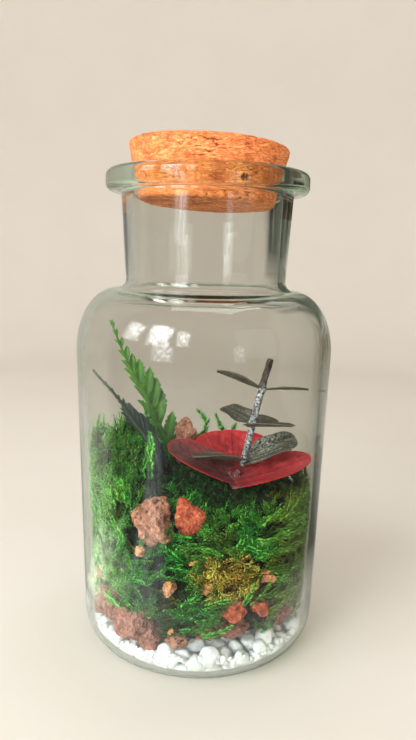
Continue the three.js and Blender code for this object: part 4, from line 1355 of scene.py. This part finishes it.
# %% Fern finishes
def fern_finish(name, *colours):
    """Three leaf colours, paler veins and tips, and the colour that the frond's end turns to."""
    dark, middle, light, vein, top = (paint(*colour) for colour in colours)
    material, tree, target = new_finish(name, Roughness=0.5)
    body = use(tree, mottle, Dark=dark, Middle=middle, Light=light, Size=2.6)["Color"]
    body = over(tree, body, vein, mark(tree, "vein"), 0.55)
    body = over(tree, body, light, mark(tree, "tip"), 0.5)
    body = blend(tree, mark(tree, "high"), body, top)
    tree.links.new(body, target["Base Color"])
    relief(tree, target, size=0.4, pits=0.3, strength=0.3, depth_mm=0.06)
    return material


GREEN_LEAF = ((24, 58, 10), (47, 94, 20), (78, 128, 38), (98, 140, 56), (70, 112, 38))
DARK_LEAF = ((4, 7, 9), (12, 18, 20), (30, 40, 40), (36, 45, 44), (84, 98, 80))
GREEN_FERN = fern_finish("green_fern", *GREEN_LEAF)
DARK_FERN = fern_finish("dark_fern", *DARK_LEAF)


# %% A toothed leaflet
def leaflet(length, width, teeth, thick=0.3):
    """A leaflet along +X: points, faces, and marks for its midrib and tip."""
    rows, columns = 44, 12
    u = np.linspace(0, 1, rows + 1)[:, None] * np.ones(columns + 1)
    v = np.ones((rows + 1, 1)) * np.linspace(-1, 1, columns + 1)
    outline = np.interp(u, [0, 0.12, 0.35, 0.64, 0.85, 1], [0.34, 0.5, 0.82, 1, 0.66, 0.04])
    saw = (u * teeth) % 1
    notch = 1 - 0.26 * smooth(0.4, 0.62, u) * (1 - smooth(0.0, 0.8, saw))
    across = v * outline * np.where(np.abs(v) > 0.7, notch, 1) * width / 2
    rib = np.exp(-((across / 0.28) ** 2))
    branch = np.abs(((u * length - 1.1 * np.abs(across)) / 1.1) % 1 - 0.5)
    vein = smooth(0.16, 0.0, branch) * 0.6
    arch = 0.28 * np.abs(across) - 0.05 * length * u**2
    body = thick * (0.4 + 0.6 * np.sqrt(1 - 0.95 * v**2)) / 2
    layers = []
    for sign, raised in ((1, -0.06), (-1, -0.14)):
        height = arch + sign * body + raised * rib - 0.03 * vein
        layers.append(np.stack([u * length, across, height], -1).reshape(-1, 3))
    marks = {"vein": np.tile(np.maximum(rib, vein).ravel(), 2), "tip": np.tile((u**3).ravel(), 2)}
    return np.concatenate(layers), two_layers(rows, columns), marks


# %% Frond meshes
def turned_about(vector, axis, angle):
    """A vector turned about an axis."""
    cos, sin = math.cos(angle), math.sin(angle)
    return vector * cos + np.cross(axis, vector) * sin + axis * dot(axis, vector) * (1 - cos)


LEAFLET_RATIO = 0.42  # width over length


def make_frond(name, finish, slot, node, stalk, radii, first, pairs, sizes, lean, fold, face, teeth, seed):
    """A stalk with pairs of leaflets. The sizes give their length by the share of the stalk."""
    heap = Heap()
    steps = 90
    thickness = np.interp(np.linspace(0, 1, steps + 1), np.linspace(0, 1, len(radii)), radii)
    points, faces = tube(curve_through(stalk, steps), thickness, 12)
    heap.add(points, faces, vein=0.5, tip=0.0, high=0.3)
    draw = np.random.default_rng(seed)
    lean, fold = [math.radians(angle) for angle in lean], math.radians(fold)
    for k in range(pairs):
        share = k / (pairs - 1)
        t = first + (0.985 - first) * (1 - (1 - share) ** 1.55)
        before, place, beyond = curve_through(stalk, [max(t - 0.005, 0), t, min(t + 0.005, 1)])
        ahead = unit(beyond - before)
        across = unit(np.cross(ahead, face))
        normal = unit(np.cross(across, ahead))
        length = np.interp(t, *zip(*sizes)) * draw.uniform(0.92, 1.1)
        width = LEAFLET_RATIO * length
        for turn in (0, math.pi + fold):
            outward = turned_about(across, ahead, turn)
            tip_way = (lean[0] + (lean[1] - lean[0]) * share) * draw.uniform(0.88, 1.12)
            along = ahead * math.cos(tip_way) + outward * math.sin(tip_way)
            upward = turned_about(normal, ahead, turn + draw.uniform(-0.15, 0.15))
            side = unit(np.cross(upward, along))
            above = np.cross(along, side)
            points, faces, marks = leaflet(length, width, teeth)
            points = place - 0.5 * along + points @ np.array([along, side, above])
            heap.add(inside_glass(points), faces, **marks, high=0.85 * share**1.6)
    piece(name, heap, finish, slot, node)


GREEN_STALK = [
    (-8.6, 3.0, 48), (-10.3, 4.4, 62), (-15.4, 5.0, 73.4),
    (-19.4, 5.0, 82), (-25.2, 5.0, 92), (-31.2, 4.8, 105.8),
]
DARK_STALK = [
    (-11.4, -4.0, 48), (-13.4, -5.0, 60), (-17.2, -5.0, 68.4),
    (-21.6, -5.0, 74.4), (-26.2, -4.6, 81), (-35.6, -3.6, 91),
]
make_frond(
    "green_frond", GREEN_FERN, "green_fern", "fern_frond_green", GREEN_STALK,
    radii=(0.8, 0.75, 0.65, 0.55, 0.45, 0.25), first=0.26, pairs=11,
    sizes=((0.26, 11.6), (0.5, 11.2), (0.7, 7.2), (0.85, 4.6), (1, 1.8)),
    lean=(34, 26), fold=-72, face=(0.2, -1, 0.1), teeth=7, seed=11,
)
make_frond(
    "dark_frond", DARK_FERN, "dark_fern", "fern_frond_dark", DARK_STALK,
    radii=(1.2, 1.2, 0.9, 0.7, 0.5, 0.3), first=0.14, pairs=15,
    sizes=((0.14, 8.6), (0.35, 9.6), (0.6, 7.6), (0.7, 4.0), (0.8, 2.4), (1, 1.2)),
    lean=(12, 36), fold=-60, face=(0.1, -1, 0.2), teeth=5, seed=10,
)

# %% [markdown]
# ## The moss
# Preserved moss fills the lower half of the jar: thousands of soft feathery shoots, pressed flat and
# combed sideways where they meet the glass, upright and loose on top. Particle hair would give the
# number, but it has no leaves and no solid mesh. Here each shoot is a bent stem that carries a spiral of
# tiny pointed leaves, all worked out at once as arrays. A dark lumpy core stands behind them, and the
# gaps between shoots show it. Its near-black colour is painted shade.


# %% Moss finishes
def moss_finish(name, *colours):
    """Each shoot has its own tone and its share of gold. Painted glints of the bright colour grow towards the
    tip.
    """
    deep, green, bright, gold = (paint(*colour) for colour in colours)
    material, tree, target = new_finish(name, Roughness=0.45, Specular_IOR_Level=0.35)
    tone = mark(tree, "tone")
    body = blend(tree, between(tree, tone, 0.0, 0.5), deep, green)
    body = blend(tree, between(tree, tone, 0.5, 1.0), body, bright)
    body = blend(tree, mark(tree, "gold"), body, gold)
    # Painted glints: specks of the bright colour, more of them towards the tip.
    shine = speckled(tree, size=0.5, coverage=0.25, softness=0.12)
    lit = sums(tree, "MULTIPLY", shine, between(tree, mark(tree, "tip"), 0.0, 1.0, 0.15, 0.5))
    tree.links.new(blend(tree, lit, body, bright), target["Base Color"])
    return material


GREEN_MOSS = moss_finish("green_moss", (4, 26, 8), (30, 138, 44), (122, 222, 92), (138, 142, 40))
OLIVE_MOSS = moss_finish("olive_moss", (24, 26, 6), (122, 124, 30), (208, 200, 88), (176, 112, 44))


def core_shade_finish():
    material, tree, target = new_finish("moss_core", Roughness=0.95)
    # Painted shade: the core is near-black, for the shade deep in the moss.
    body = mottled(tree, ((3, 7, 4), (8, 18, 8), (16, 34, 14)), size=1.6)
    tree.links.new(body, target["Base Color"])
    relief(tree, target, size=0.5, pits=0.6, strength=0.8, depth_mm=0.3)
    return material


# %% Feathery shoots from centrelines
# a leaf's five points: how far ahead, outward and sideways, and how much lighter than the shoot
# The last column paints each leaf darker at its base, as painted shade, and lighter on its ridge and tip, as
# a painted highlight.
LEAF_POINTS = (
    (0.0, 0.0, 0.0, -0.42),
    (0.4, 0.38, 0.32, -0.06),
    (0.4, 0.38, -0.32, -0.06),
    (0.46, 0.58, 0.0, 0.16),
    (1.1, 0.9, 0.0, 0.3),
)
LEAF_FACES = ((0, 2, 3), (2, 4, 3), (4, 1, 3), (1, 0, 3), (0, 1, 2), (1, 4, 2))


def feathers(heap, paths, thickness, tone, gold, draw, pressed=False):
    """A leaf at each point of each line: all round, or in two rows on shoots pressed to the glass."""
    count, steps, _ = paths.shape
    ahead = unit(np.gradient(paths, axis=1))
    number = np.arange(steps)
    if pressed:
        guide = from_axis(paths)
        row = np.where(number % 2 == 0, 1.0, -1.0)
        turn = math.pi / 2 + row * draw.uniform(0.55, 1.15, (count, steps))
    else:
        guide = np.where(np.abs(ahead[..., 2:]) > 0.9, [1.0, 0, 0], [0, 0, 1.0])
        turn = GOLDEN * number + draw.uniform(0, 6.28, (count, 1))
    side = unit(np.cross(ahead, guide))
    other = np.cross(side, ahead)
    turn = turn[..., None]
    out = np.cos(turn) * side + np.sin(turn) * other
    around = np.cos(turn) * other - np.sin(turn) * side
    share = np.linspace(0, 1, steps)
    reach = thickness[:, None] * (1 - 0.55 * share**3) * draw.uniform(0.75, 1.25, (count, steps))
    reach = reach[..., None]
    corners = [paths + reach * (a * ahead + o * out + w * around) for a, o, w, _ in LEAF_POINTS]
    points = inside_glass(np.stack(corners, 2).reshape(-1, 3))
    first = len(LEAF_POINTS) * np.arange(count * steps)[:, None]
    faces = [first + np.array(face) for face in LEAF_FACES]
    # Painted shade at each leaf's base and a painted highlight on its ridge and tip.
    painted_light_and_shade = np.array([point[3] for point in LEAF_POINTS])
    leaf_tone = tone[:, None] * draw.lognormal(0, 0.38, (count, steps))
    shape = (count, steps, len(LEAF_POINTS))
    heap.add(
        points,
        faces,
        tone=np.clip(leaf_tone[..., None] * (1 + painted_light_and_shade), 0, 1),
        gold=np.broadcast_to(gold[:, None, None], shape),
        tip=np.broadcast_to(share[None, :, None], shape),
    )
    stems(heap, paths[:, ::3], 0.14 * thickness, tone, gold, side[:, ::3], other[:, ::3])


def stems(heap, paths, radius, tone, gold, side, other):
    """Three-sided stems under the leaves."""
    count, steps, _ = paths.shape
    angle = 2 * np.pi * np.arange(3) / 3
    ring = np.cos(angle)[:, None] * side[:, :, None] + np.sin(angle)[:, None] * other[:, :, None]
    points = inside_glass((paths[:, :, None] + radius[:, None, None, None] * ring).reshape(-1, 3))
    strip = net(steps, 3)[:, ::-1]
    last = 3 * (steps - 1)
    start = 3 * steps * np.arange(count)[:, None, None]
    faces = [(start + strip).reshape(-1, 4)]
    faces.append((start[:, 0] + np.array([0, 1, 2])))
    faces.append((start[:, 0] + np.array([last + 2, last + 1, last])))
    share = np.repeat(np.linspace(0, 1, steps), 3)
    heap.add(
        points, faces, tone=np.repeat(0.7 * tone, 3 * steps), gold=np.repeat(gold, 3 * steps),
        tip=np.tile(0.4 * share, count),
    )


def branchlets(paths, draw, leaves=8):
    """The centrelines of short side shoots, one on each shoot."""
    count, steps, _ = paths.shape
    owner = np.arange(count)
    at = draw.integers(steps // 5, (3 * steps) // 4, count)
    base = paths[owner, at]
    ahead = unit(paths[owner, np.minimum(at + 2, steps - 1)] - base)
    wall = from_axis(base)
    sideways = unit(np.cross(wall, ahead)) * draw.choice([-1.0, 1.0], (count, 1))
    way = unit(ahead + 0.9 * sideways + 0.25 * draw.normal(size=base.shape))
    length = draw.uniform(1.8, 4.2, (count, 1))
    t = np.linspace(0, 1, leaves)[None, :, None]
    return base[:, None] + length[..., None] * t * (way[:, None] + 0.5 * t * ahead[:, None])


def moss_halves(name, paths, thickness, tone, gold, draw, branching, thinner, pressed):
    """Two pieces, left and right: leafy shoots, and a side shoot on each that branches."""
    for half, chosen in (("left", paths[:, 0, 0] < 0), ("right", paths[:, 0, 0] >= 0)):
        heap = Heap()
        feathers(heap, paths[chosen], thickness[chosen], tone[chosen], gold[chosen], draw, pressed)
        forked = chosen & branching
        twigs = branchlets(paths[forked], draw)
        feathers(heap, twigs, thinner * thickness[forked], tone[forked], gold[forked], draw, pressed)
        piece(f"{name}_{half}", heap, GREEN_MOSS, "green_moss", "moss_green")


# %% Where the mound's surface lies
MOSS_BOTTOM_Z = 12.0
MOSS_TOP_Z = 56.8


def moss_top(x, y):
    """Height of the mound's surface."""
    slope = -0.15 * x + 0.08 * y + 0.006 * x**2
    return MOSS_TOP_Z + slope + 1.5 * np.sin(0.16 * x + 1) * np.cos(0.14 * y)


def tufts(x, y):
    """1 where a tuft of longer shoots stands above the mound, at the left."""
    spot = np.stack([x, y, 0 * x], -1)
    return smooth(-8, -22, x) * smooth(0.0, 0.55, swells(spot, 6, 121))


def make_core():
    """The dark body behind the shoots."""
    around = 180
    profile = [(2, MOSS_BOTTOM_Z), (28.5, MOSS_BOTTOM_Z), (28.5, 15.2), (32.6, 16.4)]
    profile += straight((32.6, 16.4), (33.0, 46), 40) + straight((33.0, 46), (31.6, 52.4), 10)
    profile += straight((31.6, 52.4), (24, 55.4), 10) + straight((24, 55.4), (2, 56.2), 20)
    rings = turned(profile, around)
    lift = smooth(40, 54, rings[..., 2]) * (moss_top(rings[..., 0], rings[..., 1]) - MOSS_TOP_Z)
    shown = smooth(15.5, 18, rings[..., 2])
    lumps = 0.5 * swells(rings, 4, 91) + 0.35 * swells(rings, 1.7, 92) - 0.5
    middle = np.array([0, 0, 35.0])
    rings = rings + unit(rings - middle) * (lumps * shown)[..., None]
    rings[..., 2] += lift
    points, faces = capped(rings, [0, 0, MOSS_BOTTOM_Z], [0, 0, rings[-1, :, 2].mean()])
    heap = Heap()
    heap.add(clear_of_stones(points), faces)
    piece("moss_core", heap, core_shade_finish(), "green_moss", "moss_green")


def clear_of_stones(points):
    """Pushes points that lie in a stone's room out of it, towards the jar's axis."""
    moved = points.copy()
    for centre, half, *_ in BODIES:
        centre, room = np.array(centre), 1.12 * np.array(half) + 0.3
        inwards = -from_axis(centre)
        for _ in range(3):
            inside = np.sum(((moved - centre) / room) ** 2, -1)
            push = smooth(1.0, 0.4, inside) * 0.8 * room.mean()
            moved += push[:, None] * inwards
    return moved


make_core()

# %% Which shoots have room
SMALL_STONE = 2.5  # stones thinner than this lie deeper in the shoots
OLIVE_AT = (8.4, -30.4, 35.4)
OLIVE_HALF = (9.4, 5.8, 6.4)


def in_front_of(points, centre, half, share):
    """True where a point lies over a stone, seen from the glass."""
    angle = math.atan2(centre[1], centre[0])
    turn = np.arctan2(points[..., 1], points[..., 0]) - angle
    turn = (turn + np.pi) % (2 * np.pi) - np.pi
    far = math.hypot(centre[0], centre[1])
    flat = (turn * far / half[0]) ** 2 + ((points[..., 2] - centre[2]) / half[2]) ** 2
    return (flat < share**2) & (np.hypot(points[..., 0], points[..., 1]) > far - half[1])


def has_room(paths, share=0.95):
    """True for shoots that stay off the stones."""
    free = np.ones(len(paths), bool)
    middle = paths[:, ::2]
    for centre, half, *_ in BODIES:
        if math.hypot(centre[0], centre[1]) > 20:
            bare = share if min(half) > SMALL_STONE else 0.8 * share
            free &= ~in_front_of(middle, centre, half, bare).any(1)
        else:
            off = np.sum(((middle - np.array(centre)) / (1.1 * np.array(half) + 0.5)) ** 2, -1)
            free &= ~(off < 1).any(1)
    return free


# %% Shoots against the glass
WALL_SHOOTS = 1750
LEAVES_EACH = 24
SHORTENED = 0.45  # what is left of a shoot that would cross a stone
# Gaps in the shoots let the core's painted shade show.
DARK_HOLLOWS = [  # angle round the jar in degrees, height, how wide and high: gaps that show the core
    (-118, 50, 5, 8),
    (-82, 53, 5, 3),
    (-70, 47, 4, 2.5),
    (-55, 51, 6, 3),
    (-96, 44, 3, 2.5),
]


def wall_paths(draw):
    """Centrelines that hug the glass, upright at the left and combed sideways at the right."""
    count = WALL_SHOOTS
    angle = GOLDEN * np.arange(count) + draw.uniform(-0.05, 0.05, count)
    x, y = 34 * np.cos(angle), 34 * np.sin(angle)
    height = 15.4 + (moss_top(x, y) - 18.0) * draw.uniform(0, 1, count)
    place = np.stack([x, y, height], -1)
    leftness = smooth(2, -22, place[:, 0])
    slope = np.radians(16 + 44 * leftness) + 0.75 * swells(place, 12, 101) + draw.normal(0, 0.2, count)
    way = np.where(draw.uniform(0, 1, count) < 0.85, 1, -1)
    length = draw.uniform(5, 13.5, count)
    bend = draw.normal(0, 0.3, count) + 0.2 * swells(place, 9, 102)
    depth = draw.uniform(0, 1, count)
    t = np.linspace(0, 1, LEAVES_EACH)[None]
    run = length[:, None] * t
    turn = slope[:, None] + bend[:, None] * t
    step = way[:, None] * run * np.cos(turn) / 35
    rise = run * np.sin(turn)
    limit = moss_top(x, y) + 1.2 + 6 * tufts(x, y)
    top = np.maximum(rise.max(1), 0.5)
    rise = rise * np.clip((limit - height) / top, 0.1, 1)[:, None]
    radius = 33.2 + 2.5 * depth[:, None] + 0.6 * t
    theta = angle[:, None] + step
    paths = round_axis(radius, theta, height[:, None] + rise)
    return paths, depth, (paths[..., 2] < limit[:, None] + 1.5).all(1)


def moss_tones(paths, depth, draw):
    """Tone and gold of each shoot, by where it lies in the jar. Those behind are painted dark as shade, those
    at the left painted lighter as light.
    """
    spot = paths[:, paths.shape[1] // 2]
    left = smooth(-14, -32, spot[:, 0])
    right = smooth(14, 30, spot[:, 0]) * smooth(5, -12, spot[:, 1])
    low_left = left * smooth(40, 26, spot[:, 2])
    # Painted light and shade: shoots at the left, and most low at the left, are painted lighter, those at the
    # right a little darker.
    tone = 0.45 + 0.35 * left + 0.2 * low_left - 0.07 * right + 0.24 * swells(spot, 9, 111)
    tone = tone + draw.normal(0, 0.13, len(spot))
    # Painted shade: shoots that lie behind others are painted darker.
    tone = tone * (0.14 + 0.86 * smooth(0.2, 0.75, depth))
    gold = 0.1 + 0.08 * left + 0.42 * right + 0.2 * swells(spot, 8, 112)
    low = smooth(44, 30, spot[:, 2]) * smooth(14, 2, np.abs(spot[:, 0] - 12)) * smooth(0, -10, spot[:, 1])
    gold = gold + 0.35 * low + draw.normal(0, 0.08, len(spot))
    return np.clip(tone, 0.03, 1), np.clip(gold, 0, 0.9)


def out_of_hollows(paths, draw):
    """Most shoots over a dark hollow are left out."""
    spot = paths[:, paths.shape[1] // 2]
    angle = np.degrees(np.arctan2(spot[:, 1], spot[:, 0]))
    kept = np.ones(len(spot), bool)
    for at, height, wide, high in DARK_HOLLOWS:
        turn = (angle - at + 180) % 360 - 180
        inside = (turn * 0.6 / wide) ** 2 + ((spot[:, 2] - height) / high) ** 2 < 1
        kept &= ~(inside & (draw.uniform(0, 1, len(spot)) < 0.65))
    return kept


def make_wall_moss():
    draw = np.random.default_rng(23)
    paths, depth, low_enough = wall_paths(draw)
    fits = has_room(paths, 0.8)
    short = paths[:, :1] + SHORTENED * (paths - paths[:, :1])
    paths = np.where(fits[:, None, None], paths, short)
    over_olive = in_front_of(paths[:, ::3], OLIVE_AT, OLIVE_HALF, 0.8).any(1)
    kept = low_enough & has_room(paths, 0.8) & ~over_olive & out_of_hollows(paths, draw)
    paths, depth = paths[kept], depth[kept]
    tone, gold = moss_tones(paths, depth, draw)
    thickness = draw.uniform(1.0, 1.5, len(paths))
    moss_halves("moss_wall", paths, thickness, tone, gold, draw, branching=True, thinner=0.75, pressed=True)


make_wall_moss()

# %% Shoots on the crown
CROWN_SHOOTS = 950
# middle and reach of the places where shoots stay short: under the red leaves and at the dark fern
SHADES = (((11.0, -5.0), (25.0, 17.0)), ((-14.5, -16.0), (5.5, 16.0)))


def crown_paths(draw):
    """Upright loose shoots, longest in the tufts at the left."""
    count = CROWN_SHOOTS
    far = 35.2 * np.sqrt(draw.uniform(0, 1, count))
    angle = GOLDEN * np.arange(count)
    x, y = far * np.cos(angle), far * np.sin(angle)
    length = draw.uniform(3.6, 6.6, count) + tufts(x, y) * draw.uniform(3, 8, count)
    shade = np.min([((x - at[0]) / far[0]) ** 2 + ((y - at[1]) / far[1]) ** 2 for at, far in SHADES], 0)
    length = np.where(shade < 1, np.minimum(length, draw.uniform(2.2, 3.6, count)), length)
    lean = draw.normal(0, 0.32, (count, 2)) * (1 + 0.8 * (shade < 1))[:, None]
    way = unit(np.column_stack([lean, np.ones(count)]))
    bend = np.column_stack([draw.normal(0, 0.3, (count, 2)), draw.normal(-0.1, 0.12, count)])
    root = np.column_stack([x, y, moss_top(x, y) - 2.2 - 0.0035 * far**2])
    t = np.linspace(0, 1, LEAVES_EACH)[None, :, None]
    long = length[:, None, None]
    return root[:, None] + long * (way[:, None] * t + bend[:, None] * t**2), shade < 1


def make_crown_moss():
    draw = np.random.default_rng(29)
    paths, shaded = crown_paths(draw)
    kept = has_room(paths)
    paths, shaded = paths[kept], shaded[kept]
    # Painted shade: the short shoots under the red leaves and at the dark fern are painted darker.
    tone, gold = moss_tones(paths, np.where(shaded, 0.3, 0.9), draw)
    thickness = draw.uniform(1.05, 1.5, len(paths))
    moss_halves(
        "moss_crown", paths, thickness, tone, gold, draw, branching=~shaded, thinner=0.8, pressed=False
    )


make_crown_moss()

# %% [markdown]
# ## The yellowed cushion
# Low at the front one tuft of moss has faded to olive and gold and lies in loose curls, with black gaps
# between them. It has its own core and shorter, more curled shoots. The core's near-black colour in the
# gaps is painted shade.


# %% Olive moss
OLIVE_SHOOTS = 135


def make_olive_moss():
    draw = np.random.default_rng(41)
    centre, half = np.array(OLIVE_AT), np.array(OLIVE_HALF)
    away, faces = BALLS[5]
    points = centre + away * half * (0.86 + 0.1 * swells(away * half + centre, 3, 131)[:, None])
    core = Heap()
    core.add(clear_of_stones(inside_glass(points, 3.4)), [faces])
    piece("olive_core", core, core_shade_finish(), "olive_moss", "moss_olive")
    count, leaves = OLIVE_SHOOTS, 14
    spread = GOLDEN * np.arange(count)
    reach = np.sqrt((np.arange(count) + 0.5) / count)
    t = np.linspace(0, 1, leaves)[None]
    heading = draw.uniform(0, 6.28, (count, 1))
    curl = draw.uniform(1.2, 3.4, (count, 1)) * draw.choice([-1, 1], (count, 1))
    heading = heading + curl * t
    length = draw.uniform(3.5, 6.5, (count, 1))
    run = np.cumsum(np.stack([np.cos(heading), np.sin(heading)], -1), 1) * (length / leaves)[..., None]
    across = half[0] * 0.92 * (reach * np.cos(spread))[:, None] + run[..., 0] - 1.4
    height = centre[2] + half[2] * 0.92 * (reach * np.sin(spread))[:, None] + run[..., 1]
    depth = draw.uniform(0, 1, count)
    radius = 33.6 + 1.9 * depth[:, None] + 0.9 * np.sin(np.pi * t)
    theta = math.atan2(centre[1], centre[0]) + across / 35
    paths = round_axis(radius, theta, height)
    kept = has_room(paths, 0.9)
    paths, depth = paths[kept], depth[kept]
    # Painted shade: shoots that lie deeper are painted darker.
    tone = np.clip(draw.normal(0.74, 0.18, len(paths)) * (0.1 + 0.9 * smooth(0.15, 0.7, depth)), 0.03, 1)
    gold = np.clip(draw.normal(0.22, 0.22, len(paths)), 0, 0.8)
    heap = Heap()
    feathers(heap, paths, draw.uniform(0.95, 1.45, len(paths)), tone, gold, draw, pressed=True)
    piece("olive_shoots", heap, OLIVE_MOSS, "olive_moss", "moss_olive")


make_olive_moss()

# %% [markdown]
# ## Loose bits
# A hand-made planting is never tidy. A few thick moss sprigs have come loose and stick to the glass, some
# curl up behind the red leaves, and flakes of bark and broken lava lie among the shoots. Each is placed
# where it lies in the photo and built with the same tools as its neighbours.

# %% Loose moss sprigs
LOOSE_SPRIGS = [  # centreline, and how thick the leaves are
    (((13.0, -34.0, 26.4), (14.8, -33.6, 29.4), (16.9, -32.7, 33.6)), 1.5),
    (((0.6, -35.6, 17.6), (5.4, -35.3, 18.3), (10.2, -34.4, 20.4)), 1.5),
    (((-5.4, -35.4, 19.2), (-3.0, -35.7, 19.6), (-0.8, -35.7, 20.2)), 1.2),
    (((-1.0, 14, 58), (-1.8, 14, 64), (0.3, 14, 66.3), (1.3, 14, 70), (-0.2, 14, 73), (-1.8, 13.8, 74.6)),
     1.7),
    (((8.4, 16, 58), (7.4, 16, 66.3), (5.9, 16, 68.8), (4.4, 15.8, 72.8)), 1.6),
    (((10.6, 16, 58), (10.4, 16, 66.3), (11.6, 15.8, 69.6)), 1.4),
    (((-16.0, 9, 60), (-18.4, 9, 71.5), (-20.4, 9, 77.8)), 1.5),
    (((-15.4, 9, 60), (-17.0, 9, 69.8), (-18.0, 9, 75.1)), 1.5),
    (((-15.4, -14, 58), (-15.1, -14, 65.3), (-14.8, -14, 69.5), (-15.4, -14, 73.7)), 2.1),
    (((-17.0, -14, 56), (-17.4, -14, 62.0), (-16.2, -14, 66.0), (-16.4, -14, 70.0)), 1.9),
    (((17.6, -32.2, 44.0), (15.0, -33.4, 46.4), (13.4, -33.8, 49.8)), 1.35),
    (((10.6, -34.4, 45.4), (11.6, -34.2, 47.4), (12.0, -33.8, 50.4)), 1.35),
    (((-22.0, -27.6, 37.0), (-18.0, -30.4, 38.8), (-13.0, -32.8, 40.0)), 1.2),
]


def make_loose_sprigs():
    draw = np.random.default_rng(47)
    heap = Heap()
    for line, thick in LOOSE_SPRIGS:
        long = np.linalg.norm(np.diff(np.array(line), axis=0), axis=1).sum()
        path = inside_glass(curve_through(line, max(int(long / 0.3), 9)), 1.0)[None]
        bright, gold = draw.uniform(0.5, 0.72, 1), draw.uniform(0.05, 0.2, 1)
        feathers(heap, path, np.array([thick]), bright, gold, draw, pressed=line[0][1] < 0)
    piece("moss_loose", heap, GREEN_MOSS, "green_moss", "moss_green")


make_loose_sprigs()


# %% Bark flakes and lava crumbs
def bark_finish():
    material, tree, target = new_finish("bark_flakes", Roughness=0.85)
    body = mottled(tree, ((128, 76, 40), (196, 132, 76), (226, 172, 112)), size=0.9)
    tree.links.new(body, target["Base Color"])
    relief(tree, target, size=0.4, pits=0.6, strength=0.5, depth_mm=0.1)
    return material


FLAKES = [  # place, and half sizes along the glass, into it and up
    ((-1.4, -35.4, 41.0), (1.5, 0.6, 0.6)),
    ((3.0, -35.3, 33.9), (1.7, 0.9, 0.9)),
    ((-8.2, -34.4, 33.4), (0.7, 0.5, 1.2)),
    ((-30.0, -18.6, 30.4), (1.2, 0.6, 0.8)),
    ((-17.4, -30.8, 36.4), (0.5, 0.4, 0.5)),
    ((19.4, -29.6, 35.8), (2.0, 0.6, 0.6)),
    ((16.4, -31.4, 32.0), (1.3, 0.6, 0.6)),
    ((14.6, -32.2, 35.6), (1.2, 0.5, 0.5)),
    ((-7.7, -34.7, 18.2), (0.7, 0.35, 1.3)),
    ((-3.4, -35.0, 53.6), (0.6, 0.4, 0.4)),
    ((-6.2, -34.8, 55.0), (0.8, 0.4, 0.5)),
]


def make_flakes():
    draw = np.random.default_rng(53)
    away, faces = BALLS[4]
    heap = Heap()
    for place, half in FLAKES:
        centre = np.array(place)
        outward = from_axis(centre)
        along = np.cross([0, 0, 1.0], outward)
        tilt = draw.uniform(-0.6, 0.6)
        up = np.array([0, 0, 1.0]) * math.cos(tilt) + along * math.sin(tilt)
        along = along * math.cos(tilt) - np.array([0, 0, 1.0]) * math.sin(tilt)
        rough = away * 3 + centre
        reach = 0.85 + 0.4 * swells(rough, 1.4, 141) + 0.22 * swells(rough, 0.6, 142)
        shaped = away * reach[:, None] * np.array(half)
        points = centre + shaped @ np.array([along, outward, up])
        heap.add(inside_glass(points), [faces])
    piece("bark_flakes", heap, bark_finish(), "olive_moss", "moss_olive")


make_flakes()
